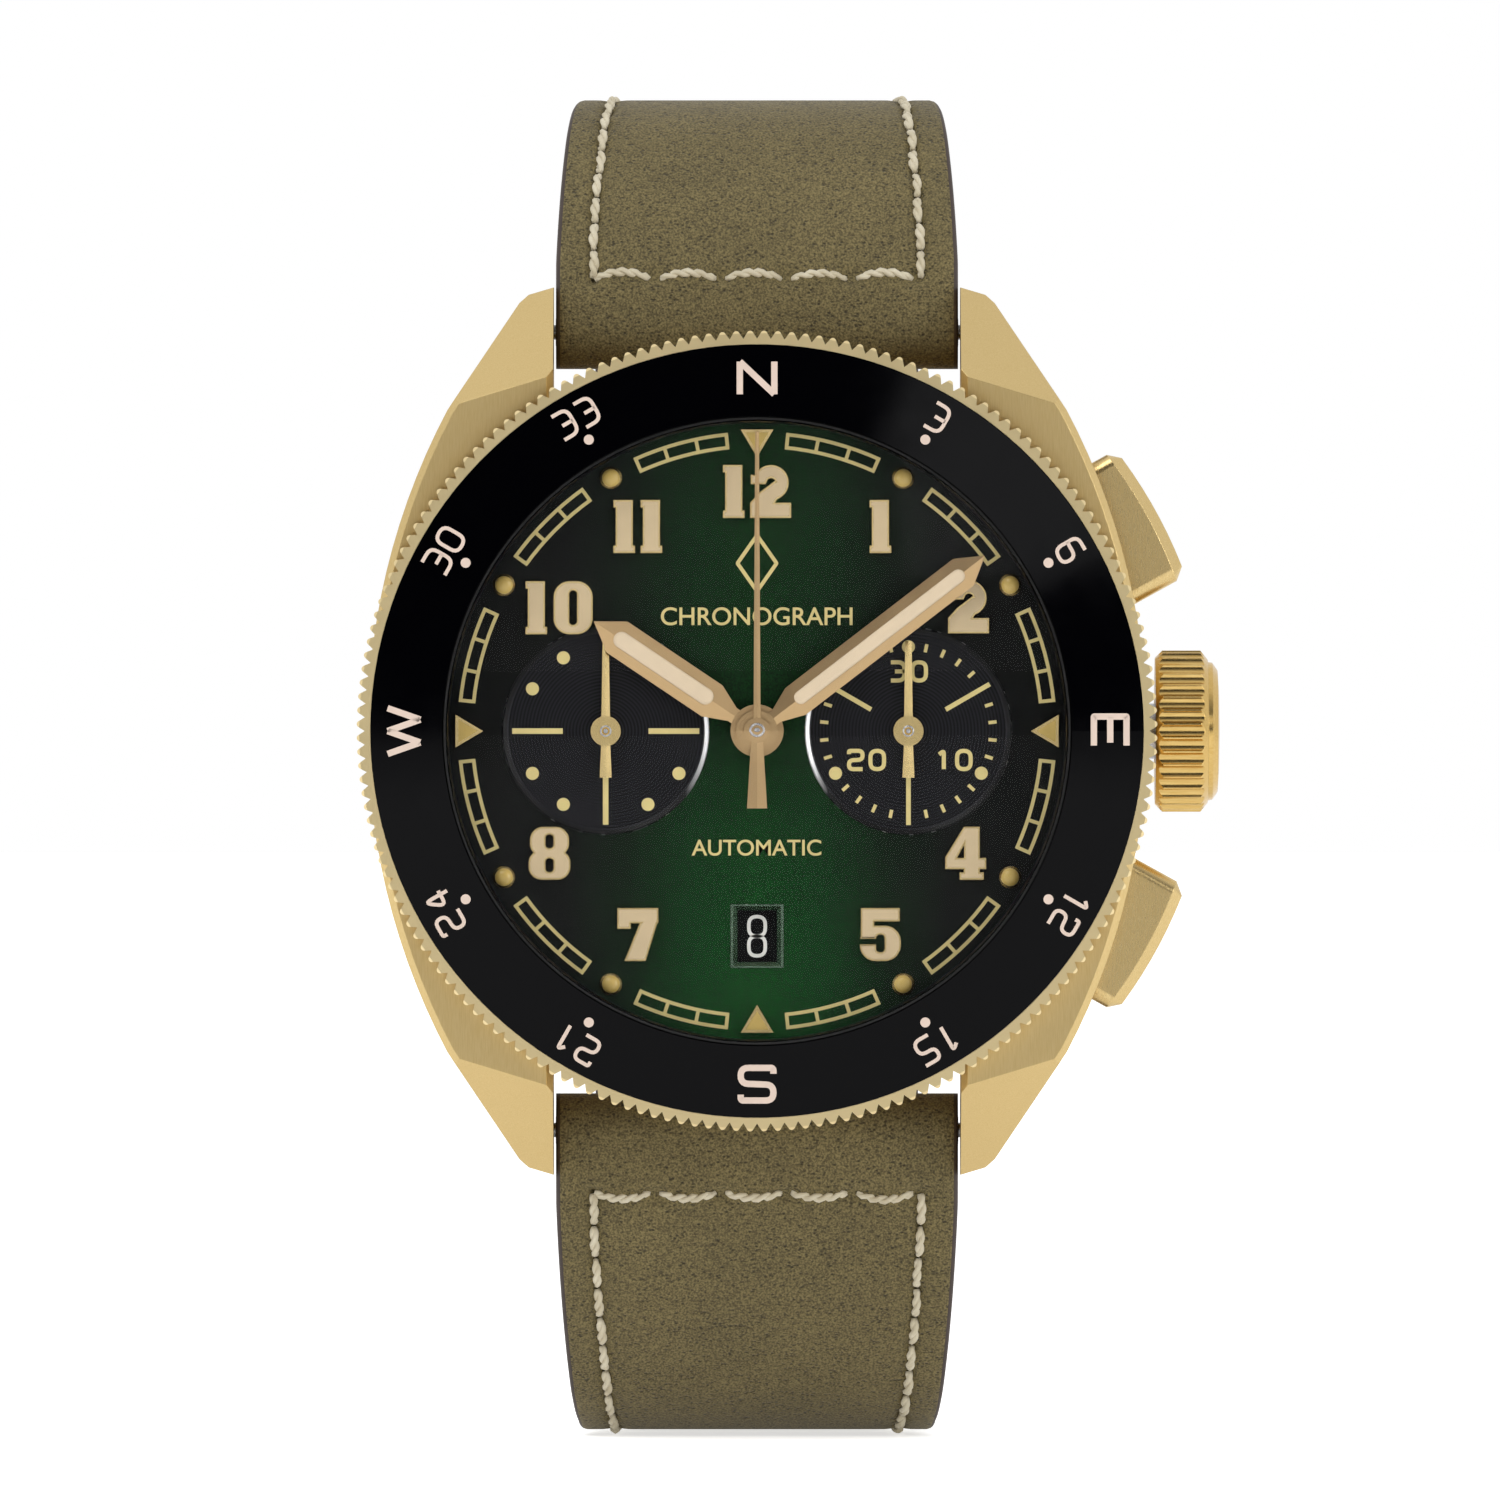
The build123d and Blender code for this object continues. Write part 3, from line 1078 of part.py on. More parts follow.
def strap_upper():
    y, z = upper_bend_end()
    body = extrude_x(strap_side(upper_route()), LUG_GAP / 2) & strap_taper()
    body += strap_lug_end(SPRING_BAR_Y)
    body += extrude_x(Pos(BUCKLE_BAR[0], z) * Circle(STRAP_THICKNESS / 2 + 0.08), STRAP_BUCKLE_WIDTH / 2)
    body -= spring_bar_bore(SPRING_BAR_Y)
    body -= rod_x(SPRING_BAR_RADIUS + SEATED, -20, 20, y=BUCKLE_BAR[0], z=z)
    notch = TONGUE_WIDTH / 2 + 0.25
    return body - upright_box((-notch, BUCKLE_BAR[0] - 4, z - 5), (notch, BUCKLE_BAR[0] + 2.2, z + 5))


def strap_lower():
    body = extrude_x(strap_side(lower_route()), LUG_GAP / 2) & strap_taper()
    body += strap_lug_end(-SPRING_BAR_Y)
    body -= spring_bar_bore(-SPRING_BAR_Y)
    hole = SlotOverall(TONGUE_HOLE_LENGTH, TONGUE_WIDTH + 0.7)
    return body - Pos(0, BUCKLE_BAR_Y + TONGUE_HOLE_SHIFT, -60) * Rot(0, 0, 90) * extrude(hole, 30)


def spring_bars():
    """The two lug bars and the buckle's hinge bar."""
    bars = []
    for y, z in ((SPRING_BAR_Y, SPRING_BAR_Z), (-SPRING_BAR_Y, SPRING_BAR_Z)):
        bar = rod_x(SPRING_BAR_RADIUS, -LUG_GAP / 2 + 0.1, LUG_GAP / 2 - 0.1, y=y, z=z)
        reach = LUG_GAP / 2 + SPRING_BAR_PIVOT_LENGTH
        bars.append(bar + rod_x(SPRING_BAR_PIVOT_RADIUS, -reach, reach, y=y, z=z))
    y, z = BUCKLE_BAR
    reach = BUCKLE_INNER / 2
    bar = rod_x(SPRING_BAR_RADIUS, -reach + 0.05, reach - 0.05, y=y, z=z)
    bars.append(bar + rod_x(SPRING_BAR_PIVOT_RADIUS, -reach - 1.2, reach + 1.2, y=y, z=z))
    return bars


BUCKLE_INNER = STRAP_BUCKLE_WIDTH + 1.0


def buckle_frame():
    """Buckle: two arms from the hinge bar to a round front bar."""
    arm_plan = make_hull((Pos(*BUCKLE_BAR) * Circle(1.5)).edges() + (Pos(*BUCKLE_FRONT_BAR) * Circle(1.3)).edges())
    inner = BUCKLE_INNER / 2
    arm = Plane.YZ * (Pos(0, 0, inner) * extrude(arm_plan, BUCKLE_ARM))
    frame = arm + mirror(arm, Plane.YZ)
    frame += rod_x(BUCKLE_BAR_RADIUS, -inner - 0.5, inner + 0.5, y=BUCKLE_FRONT_BAR[0], z=BUCKLE_FRONT_BAR[1])
    pivot = SPRING_BAR_PIVOT_RADIUS + RUNNING
    return frame - rod_x(pivot, -inner - 1.3, inner + 1.3, y=BUCKLE_BAR[0], z=BUCKLE_BAR[1])


def buckle_tongue():
    """Tongue: a ring on the hinge bar, down through the strap and out over the front bar."""
    y, z = BUCKLE_BAR
    front_y, front_z = BUCKLE_FRONT_BAR
    under = front_z - BUCKLE_BAR_RADIUS - 0.08
    blade = make_face(Polyline((y + 0.1, z - 1.0), (y - 1.0, z - 0.8), (y - 1.8, z - 4.3), (front_y, under),
                               (front_y - 1.4, under - 0.2), (front_y - 1.4, under - 0.8),
                               (front_y, under - 0.95), (y - 2.4, z - 5.3), (y - 1.0, z - 4.8), close=True))
    ring = Pos(y, z) * Circle(1.25)
    tongue = extrude_x(ring + blade, TONGUE_WIDTH / 2)
    return tongue - rod_x(SPRING_BAR_RADIUS + RUNNING, -20, 20, y=y, z=z)


def keeper(y, clear):
    """A leather loop round both layers of the strap."""
    inner_z = upper_bend_end()[1] + STRAP_THICKNESS / 2
    outer_z = inner_z - 2 * STRAP_THICKNESS - STRAP_LAYER_GAP
    tall = inner_z - outer_z + 2 * clear
    wide = STRAP_BUCKLE_WIDTH + 2 * clear
    loop = RectangleRounded(wide + 2 * KEEPER_WALL, tall + 2 * KEEPER_WALL, 1.2) - Rectangle(wide, tall)
    middle = (inner_z + outer_z) / 2
    return Pos(0, y, middle) * (Plane.XZ * extrude(loop, KEEPER_LENGTH / 2, both=True))


# ---------------------------------------------------------------- write every node
save("mid_case", mid_case())
save("case_back", case_back())
save("case_back_glass", disc(BACK_GLASS_RADIUS, GLASS_LOW, GLASS_LOW + BACK_GLASS_THICKNESS))
save("case_gaskets", *case_gaskets())
save("crystal", crystal())
save("dial_flange", dial_flange())
save("movement_holder", movement_holder())
save("bezel_ring", bezel_ring())
save("bezel_insert", bezel_insert())
save("bezel_wire", bezel_wire())
save("dial_plate", dial_plate())
save("applied_numerals", *applied_numerals())
save("hour_markers", *hour_markers())
save("subdial_discs", subdial(-SUBDIAL_OFFSET), subdial(SUBDIAL_OFFSET))
save("date_window_frame", date_window_frame())
save("date_disc", date_disc())
save("hour_hand", hour_hand())
save("minute_hand", minute_hand())
save("chrono_seconds_hand", chrono_seconds_hand())
save("small_seconds_hand", Pos(-SUBDIAL_OFFSET, 0, 0) * register_hand(4.7))
save("minute_counter_hand", Pos(SUBDIAL_OFFSET, 0, 0) * register_hand(4.83))
save("mainplate", mainplate())
save("barrel_bridge", barrel_bridge())
save("train_bridge", train_bridge())
save("balance_cock", balance_cock())
save("automatic_bridge", automatic_bridge())
save("jewels", *jewels())
save("bridge_screws", *bridge_screws())
save("barrel", barrel())
save("mainspring", mainspring())
save("centre_wheel", centre_wheel())
save("third_wheel", third_wheel())
save("fourth_wheel", fourth_wheel())
save("escape_wheel", escape_wheel())
save("pallet_fork", pallet_fork())
save("balance_wheel", balance_wheel())
save("hairspring", hairspring())
save("cannon_pinion", cannon_pinion())
save("minute_wheel", minute_wheel())
save("hour_wheel", hour_wheel())
save("chrono_runner", chrono_runner())
save("counter_idler", counter_idler())
save("minute_counter_wheel", minute_counter_wheel())
save("rotor", rotor())
save("crown", crown())
save("winding_stem", winding_stem())
save("crown_tube", crown_tube())
save("crown_gasket", crown_gasket())
save("pusher_start", pusher(PUSHER_ANGLES[0]))
save("pusher_reset", pusher(PUSHER_ANGLES[1]))
save("pusher_start_spring", pusher_spring(PUSHER_ANGLES[0]))
save("pusher_reset_spring", pusher_spring(PUSHER_ANGLES[1]))
save("pusher_tubes", *[pusher_tube(degrees) for degrees in PUSHER_ANGLES])
save("strap_upper", strap_upper())
save("strap_lower", strap_lower())
save("spring_bars", *spring_bars())
save("buckle_frame", buckle_frame())
save("buckle_tongue", buckle_tongue())
save("fixed_keeper", keeper(FIXED_KEEPER_Y, 0.02))
save("loose_keeper", keeper(LOOSE_KEEPER_Y, STRAP_CLEAR + 0.1))
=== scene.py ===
import bmesh
import bpy
import math
import random
from mathutils import Matrix, Vector


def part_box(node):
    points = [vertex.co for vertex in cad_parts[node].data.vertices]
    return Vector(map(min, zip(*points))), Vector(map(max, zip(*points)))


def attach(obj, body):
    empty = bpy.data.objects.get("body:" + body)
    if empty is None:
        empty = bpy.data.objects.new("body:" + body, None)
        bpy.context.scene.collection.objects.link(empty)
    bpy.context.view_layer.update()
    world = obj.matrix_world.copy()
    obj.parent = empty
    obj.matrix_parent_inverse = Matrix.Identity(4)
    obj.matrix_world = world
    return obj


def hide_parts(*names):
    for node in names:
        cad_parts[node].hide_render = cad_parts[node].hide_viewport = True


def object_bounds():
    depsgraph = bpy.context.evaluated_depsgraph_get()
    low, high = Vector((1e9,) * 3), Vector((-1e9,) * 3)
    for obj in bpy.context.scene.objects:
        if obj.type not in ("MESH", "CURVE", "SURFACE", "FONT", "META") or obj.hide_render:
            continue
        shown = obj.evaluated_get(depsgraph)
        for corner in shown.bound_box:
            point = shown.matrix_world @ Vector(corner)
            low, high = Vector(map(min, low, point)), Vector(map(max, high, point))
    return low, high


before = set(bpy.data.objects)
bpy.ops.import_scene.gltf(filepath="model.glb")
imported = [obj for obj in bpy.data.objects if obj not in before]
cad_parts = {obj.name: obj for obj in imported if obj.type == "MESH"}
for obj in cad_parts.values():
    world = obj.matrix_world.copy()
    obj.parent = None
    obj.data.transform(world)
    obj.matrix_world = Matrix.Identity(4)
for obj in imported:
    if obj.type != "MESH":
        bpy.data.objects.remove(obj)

# Looks for the compass-bezel watch. Lengths in this script are millimetres on the bench, as the watch lies
# dial up: x to 3 o'clock, y to 12 o'clock, z to the crystal. at() turns them into the row frame in metres.
MM = 0.001
CAD_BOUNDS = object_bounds()
random.seed(11)


def at(x, y, z):
    """A bench place as a row-frame point, in metres."""
    return Vector((x, -z, y)) * MM


def span(node):
    """Bench box of a CAD node: lowest and highest (x, y, z), in millimetres."""
    low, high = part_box(node)
    return (low[0] / MM, low[2] / MM, -high[1] / MM), (high[0] / MM, high[2] / MM, -low[1] / MM)


# ---------------------------------------------------------------- places read from the frame
DIAL_TOP = span("dial_plate")[1][2]
REGISTER_X = (span("subdial_discs")[1][0] - span("subdial_discs")[0][0]) / 2 - span("subdial_discs")[1][1]
REGISTER_FLOOR = DIAL_TOP - 0.16
INSERT_OUTER = span("bezel_insert")[1][0]
INSERT_LOW_Z = span("bezel_insert")[0][2]
INSERT_THICKNESS = 0.55
INSERT_RISE = 0.2
HOUR_TOP = span("hour_hand")[1][2]
MINUTE_TOP = span("minute_hand")[1][2]
DATE_TOP = span("date_disc")[1][2]
HOUR_TURN = 303.9
MINUTE_TURN = 52.4
PRINT = 0.03


# ---------------------------------------------------------------- shader groups
def new_group(name, inputs, outputs):
    """A shader node group with named sockets: {name: default} inputs and {name: kind} outputs."""
    group = bpy.data.node_groups.new(name, "ShaderNodeTree")
    for label, default in inputs.items():
        kind = "NodeSocketVector" if isinstance(default, tuple) else "NodeSocketFloat"
        socket = group.interface.new_socket(label, in_out="INPUT", socket_type=kind)
        socket.default_value = default
    for label, kind in outputs.items():
        group.interface.new_socket(label, in_out="OUTPUT", socket_type=kind)
    return group, group.nodes.new("NodeGroupInput"), group.nodes.new("NodeGroupOutput")


def wire(tree, source, target):
    tree.links.new(source, target)


def math_node(tree, operation, first, second=None):
    """A Math node; inputs are sockets or numbers."""
    node = tree.nodes.new("ShaderNodeMath")
    node.operation = operation
    for index, value in enumerate((first, second)):
        if value is None:
            continue
        if isinstance(value, (int, float)):
            node.inputs[index].default_value = value
        else:
            wire(tree, value, node.inputs[index])
    return node.outputs[0]


def brushing_group():
    """Streaks of a brushed finish: noise pulled long along one axis."""
    group, entry, result = new_group("brushing", {"Stretch": (1.0, 1.0, 1.0)}, {"Streak": "NodeSocketFloat"})
    place = group.nodes.new("ShaderNodeTexCoord")
    scaled = group.nodes.new("ShaderNodeVectorMath")
    scaled.operation = "MULTIPLY"
    noise = group.nodes.new("ShaderNodeTexNoise")
    noise.inputs["Scale"].default_value = 1000.0
    noise.inputs["Detail"].default_value = 3.0
    wire(group, place.outputs["Object"], scaled.inputs[0])
    wire(group, entry.outputs["Stretch"], scaled.inputs[1])
    wire(group, scaled.outputs[0], noise.inputs["Vector"])
    wire(group, noise.outputs["Fac"], result.inputs["Streak"])
    return group


def grain_group():
    """Fine even grain and a slower mottle, both from noise. Sizes are in millimetres."""
    group, entry, result = new_group("grain", {"Grain Size": 0.1, "Mottle Size": 3.0},
                                     {"Grain": "NodeSocketFloat", "Mottle": "NodeSocketFloat"})
    place = group.nodes.new("ShaderNodeTexCoord")
    for size, out, detail in (("Grain Size", "Grain", 2.0), ("Mottle Size", "Mottle", 4.0)):
        noise = group.nodes.new("ShaderNodeTexNoise")
        noise.inputs["Detail"].default_value = detail
        wire(group, place.outputs["Object"], noise.inputs["Vector"])
        wire(group, math_node(group, "DIVIDE", 1000.0, entry.outputs[size]), noise.inputs["Scale"])
        wire(group, noise.outputs["Fac"], result.inputs[out])
    return group


def groove_group():
    """Concentric turned grooves about an axis through (Centre X, 0), the same on both sides of 12 o'clock."""
    group, entry, result = new_group("turned_grooves", {"Centre X": 0.0, "Pitch": 0.2},
                                     {"Groove": "NodeSocketFloat", "Radius": "NodeSocketFloat",
                                      "Across": "NodeSocketFloat"})
    place = group.nodes.new("ShaderNodeTexCoord")
    parts = group.nodes.new("ShaderNodeSeparateXYZ")
    wire(group, place.outputs["Object"], parts.inputs[0])
    across = math_node(group, "MULTIPLY", math_node(group, "ABSOLUTE", parts.outputs["X"]), 1000.0)
    across = math_node(group, "SUBTRACT", across, entry.outputs["Centre X"])
    up = math_node(group, "MULTIPLY", parts.outputs["Z"], 1000.0)
    square = math_node(group, "ADD", math_node(group, "MULTIPLY", across, across),
                       math_node(group, "MULTIPLY", up, up))
    radius = math_node(group, "SQRT", square)
    phase = math_node(group, "MULTIPLY", math_node(group, "DIVIDE", radius, entry.outputs["Pitch"]), math.tau)
    wire(group, math_node(group, "SINE", phase), result.inputs["Groove"])
    wire(group, radius, result.inputs["Radius"])
    wire(group, across, result.inputs["Across"])
    return group


BRUSHING = brushing_group()
GRAIN = grain_group()
GROOVES = groove_group()


# ---------------------------------------------------------------- material helpers
def linear(red, green, blue):
    """A colour given as 0-255 display values, in linear light."""
    return tuple((value / 255) ** 2.2 for value in (red, green, blue)) + (1.0,)


def new_material(name, colour, roughness, metallic=0.0, **sockets):
    """A material with its Principled BSDF; further sockets by their names."""
    material = bpy.data.materials.new(name)
    material.use_nodes = True
    shader = material.node_tree.nodes["Principled BSDF"]
    shader.inputs["Base Color"].default_value = colour
    shader.inputs["Roughness"].default_value = roughness
    shader.inputs["Metallic"].default_value = metallic
    for label, value in sockets.items():
        shader.inputs[label].default_value = value
    return material, material.node_tree, shader


def place_group(tree, group, **values):
    node = tree.nodes.new("ShaderNodeGroup")
    node.node_tree = group
    for label, value in values.items():
        node.inputs[label.replace("_", " ")].default_value = value
    return node


def ramp(tree, value, *stops):
    """A colour ramp; each stop is (position, colour)."""
    node = tree.nodes.new("ShaderNodeValToRGB")
    elements = node.color_ramp.elements
    while len(elements) < len(stops):
        elements.new(0.5)
    for element, (position, colour) in zip(elements, stops):
        element.position = position
        element.color = colour
    wire(tree, value, node.inputs["Fac"])
    return node.outputs["Color"]


def span_map(tree, value, low, high, to_low, to_high):
    node = tree.nodes.new("ShaderNodeMapRange")
    for label, number in (("From Min", low), ("From Max", high), ("To Min", to_low), ("To Max", to_high)):
        node.inputs[label].default_value = number
    wire(tree, value, node.inputs["Value"])
    return node.outputs["Result"]


def blend_colour(tree, amount, first, second, mode="MIX"):
    node = tree.nodes.new("ShaderNodeMix")
    node.data_type = "RGBA"
    node.blend_type = mode
    for index, value in ((0, amount), (6, first), (7, second)):
        if isinstance(value, (int, float, tuple)):
            node.inputs[index].default_value = value
        else:
            wire(tree, value, node.inputs[index])
    return node.outputs[2]


def bump(tree, shader, height, strength, distance_mm, edge_mm=0.0):
    """Bump into the shader's normal, over softly rounded edges if edge_mm is given."""
    node = tree.nodes.new("ShaderNodeBump")
    node.inputs["Strength"].default_value = strength
    node.inputs["Distance"].default_value = distance_mm * MM
    wire(tree, height, node.inputs["Height"])
    if edge_mm:
        edge = tree.nodes.new("ShaderNodeBevel")
        edge.samples = 4
        edge.inputs["Radius"].default_value = edge_mm * MM
        wire(tree, edge.outputs["Normal"], node.inputs["Normal"])
    wire(tree, node.outputs["Normal"], shader.inputs["Normal"])


def brushed_metal(name, colour, deep, roughness, stretch, edge_mm=0.05):
    """Satin metal: hair-fine streaks in tone, roughness and relief, and softened edges."""
    material, tree, shader = new_material(name, colour, roughness, 1.0)
    streak = place_group(tree, BRUSHING, Stretch=stretch).outputs["Streak"]
    wire(tree, ramp(tree, streak, (0.3, deep), (0.7, colour)), shader.inputs["Base Color"])
    wire(tree, span_map(tree, streak, 0.3, 0.7, roughness + 0.05, roughness - 0.04),
         shader.inputs["Roughness"])
    bump(tree, shader, streak, 0.1, 0.004, edge_mm)
    return material


BRONZE = linear(222, 196, 140)
BRONZE_DEEP = linear(212, 184, 126)
GOLD = linear(226, 200, 140)


def case_metal():
    return brushed_metal("brushed_bronze", BRONZE, BRONZE_DEEP, 0.34, (22.0, 22.0, 1.2))


def crown_metal():
    return brushed_metal("turned_bronze", linear(222, 190, 122), linear(208, 170, 98), 0.2, (1.0, 20.0, 20.0))


def polished_metal(name, colour, roughness=0.16):
    """Polished metal with faint, slow changes in gloss."""
    material, tree, shader = new_material(name, colour, roughness, 1.0)
    grain = place_group(tree, GRAIN, Grain_Size=0.08, Mottle_Size=1.5)
    wire(tree, span_map(tree, grain.outputs["Mottle"], 0.3, 0.7, roughness - 0.02, roughness + 0.03),
         shader.inputs["Roughness"])
    return material


def dial_paint():
    """Green dial that falls off to black at both sides, with a sparkling fine grain."""
    material, tree, shader = new_material("smoked_green_dial", linear(22, 54, 24), 0.5,
                                          **{"Specular IOR Level": 0.12})
    place = tree.nodes.new("ShaderNodeTexCoord")
    parts = tree.nodes.new("ShaderNodeSeparateXYZ")
    wire(tree, place.outputs["Object"], parts.inputs[0])
    across = math_node(tree, "MULTIPLY", math_node(tree, "ABSOLUTE", parts.outputs["X"]), 1000.0)
    grain = place_group(tree, GRAIN, Grain_Size=0.09, Mottle_Size=2.2)
    tone = ramp(tree, span_map(tree, across, 0.0, 16.5, 0.0, 1.0),
                (0.0, linear(22, 78, 32)), (0.2, linear(20, 68, 30)), (0.42, linear(16, 40, 20)),
                (0.62, linear(13, 18, 14)), (1.0, linear(9, 10, 10)))
    height = span_map(tree, parts.outputs["Z"], -0.014, 0.001, 1.0, 0.42)
    tone = blend_colour(tree, height, linear(9, 12, 10), tone)
    flecks = ramp(tree, grain.outputs["Grain"], (0.35, linear(90, 90, 90)), (0.5, linear(188, 188, 188)),
                  (0.68, linear(255, 255, 255)))
    tone = blend_colour(tree, 0.75, tone, flecks, "MULTIPLY")
    wire(tree, tone, shader.inputs["Base Color"])
    wire(tree, span_map(tree, grain.outputs["Mottle"], 0.3, 0.7, 0.45, 0.56), shader.inputs["Roughness"])
    bump(tree, shader, grain.outputs["Grain"], 0.35, 0.02)
    return material


def register_paint():
    """Black register floor whose turned grooves are painted as light and dark rings; its bevelled ring has a
    painted glint, light and metallic only on the side towards the hand axis.
    """
    material, tree, shader = new_material("turned_black_register", linear(17, 17, 19), 0.4,
                                          **{"Specular IOR Level": 0.15})
    grooves = place_group(tree, GROOVES, Centre_X=REGISTER_X, Pitch=0.18)
    rim = span_map(tree, grooves.outputs["Radius"], 5.3, 5.33, 0.0, 1.0)
    # painted glint: the ring is coloured light and made metallic only on its side towards the hand axis
    painted_glint = span_map(tree, grooves.outputs["Across"], -5.4, -4.3, 1.0, 0.0)
    # painted shade and highlight: the grooves are coloured as alternating dark and light rings, with no
    # relief
    floor = ramp(tree, span_map(tree, grooves.outputs["Groove"], -1.0, 1.0, 0.0, 1.0),
                 (0.0, linear(5, 5, 7)), (1.0, linear(34, 34, 38)))
    ring = blend_colour(tree, painted_glint, linear(20, 20, 21), linear(205, 205, 205))
    wire(tree, blend_colour(tree, rim, floor, ring), shader.inputs["Base Color"])
    wire(tree, math_node(tree, "MULTIPLY", rim, painted_glint), shader.inputs["Metallic"])
    return material


def enamel(name, colour, roughness, spread=0.1, gloss=0.5):
    """Paint or luminous fill with a fine, slightly uneven surface."""
    material, tree, shader = new_material(name, colour, roughness, **{"Specular IOR Level": gloss})
    grain = place_group(tree, GRAIN, Grain_Size=0.05, Mottle_Size=0.9)
    shade = tuple(value * (1 - spread) for value in colour[:3]) + (1.0,)
    tone = blend_colour(tree, span_map(tree, grain.outputs["Mottle"], 0.35, 0.65, 0.0, 1.0), colour, shade)
    wire(tree, tone, shader.inputs["Base Color"])
    bump(tree, shader, grain.outputs["Grain"], 0.2, 0.008)
    return material


def ceramic():
    """Black glossy ceramic of the bezel insert."""
    material, tree, shader = new_material("black_ceramic", linear(8, 8, 11), 0.1,
                                          **{"Specular IOR Level": 0.1})
    grain = place_group(tree, GRAIN, Grain_Size=0.04, Mottle_Size=2.0)
    wire(tree, span_map(tree, grain.outputs["Mottle"], 0.3, 0.7, 0.07, 0.13), shader.inputs["Roughness"])
    bump(tree, shader, grain.outputs["Grain"], 0.04, 0.003)
    return material


def clear_sapphire():
    """Clear crystal: refracts what is seen, and lets light through to the dial."""
    material, tree, shader = new_material("clear_sapphire", (1.0, 1.0, 1.0, 1.0), 0.0)
    shader.inputs["Transmission Weight"].default_value = 1.0
    shader.inputs["IOR"].default_value = 1.12
    rays = tree.nodes.new("ShaderNodeLightPath")
    clear = tree.nodes.new("ShaderNodeBsdfTransparent")
    mix = tree.nodes.new("ShaderNodeMixShader")
    passing = math_node(tree, "MAXIMUM", rays.outputs["Is Shadow Ray"], rays.outputs["Is Diffuse Ray"])
    wire(tree, passing, mix.inputs["Fac"])
    wire(tree, shader.outputs["BSDF"], mix.inputs[1])
    wire(tree, clear.outputs["BSDF"], mix.inputs[2])
    wire(tree, mix.outputs["Shader"], tree.nodes["Material Output"].inputs["Surface"])
    return material


def nubuck(name, body, dark):
    """Napped leather: a dense speckled nap, dark leaning pores and a faint cloudiness."""
    material, tree, shader = new_material(name, body, 0.9, **{"Sheen Weight": 0.12, "Sheen Roughness": 0.5})
    place = tree.nodes.new("ShaderNodeTexCoord")
    leaning = tree.nodes.new("ShaderNodeMapping")
    leaning.inputs["Rotation"].default_value = (0.0, math.radians(35), 0.0)
    leaning.inputs["Scale"].default_value = (3400.0, 4600.0, 5200.0)
    pores = tree.nodes.new("ShaderNodeTexVoronoi")
    pores.inputs["Scale"].default_value = 1.0
    wire(tree, place.outputs["Object"], leaning.inputs["Vector"])
    wire(tree, leaning.outputs["Vector"], pores.inputs["Vector"])
    grain = place_group(tree, GRAIN, Grain_Size=0.11, Mottle_Size=4.0)
    patches = place_group(tree, GRAIN, Grain_Size=0.34, Mottle_Size=9.0)
    pore = span_map(tree, pores.outputs["Distance"], 0.2, 0.42, 1.0, 0.0)
    pore = math_node(tree, "MULTIPLY", pore, span_map(tree, patches.outputs["Grain"], 0.4, 0.55, 0.0, 1.0))
    speckle = ramp(tree, grain.outputs["Grain"], (0.32, linear(150, 150, 150)), (0.5, linear(205, 205, 205)),
                   (0.68, linear(255, 255, 255)))
    shade = tuple(value * 0.84 for value in body[:3]) + (1.0,)
    tone = blend_colour(tree, span_map(tree, grain.outputs["Mottle"], 0.3, 0.7, 0.0, 1.0), body, shade)
    tone = blend_colour(tree, 1.0, tone, speckle, "MULTIPLY")
    tone = blend_colour(tree, math_node(tree, "MULTIPLY", pore, 0.8), tone, dark)
    wire(tree, tone, shader.inputs["Base Color"])
    nap = math_node(tree, "SUBTRACT", grain.outputs["Grain"], math_node(tree, "MULTIPLY", pore, 0.8))
    bump(tree, shader, nap, 0.6, 0.07)
    return material


def thread_material():
    material, tree, shader = new_material("waxed_cream_thread", linear(216, 206, 180), 0.62,
                                          **{"Sheen Weight": 0.2})
    grain = place_group(tree, GRAIN, Grain_Size=0.06, Mottle_Size=1.2)
    tone = blend_colour(tree, span_map(tree, grain.outputs["Mottle"], 0.3, 0.7, 0.0, 1.0),
                        linear(222, 213, 188), linear(196, 184, 154))
    wire(tree, tone, shader.inputs["Base Color"])
    bump(tree, shader, grain.outputs["Grain"], 0.4, 0.02)
    return material


def rubber():
    material, tree, shader = new_material("black_seal_rubber", linear(24, 24, 24), 0.7)
    grain = place_group(tree, GRAIN, Grain_Size=0.08, Mottle_Size=1.0)
    bump(tree, shader, grain.outputs["Grain"], 0.3, 0.01)
    return material


def ruby():
    material, _, shader = new_material("ruby_jewel", linear(190, 20, 60), 0.08)
    shader.inputs["Coat Weight"].default_value = 0.6
    return material


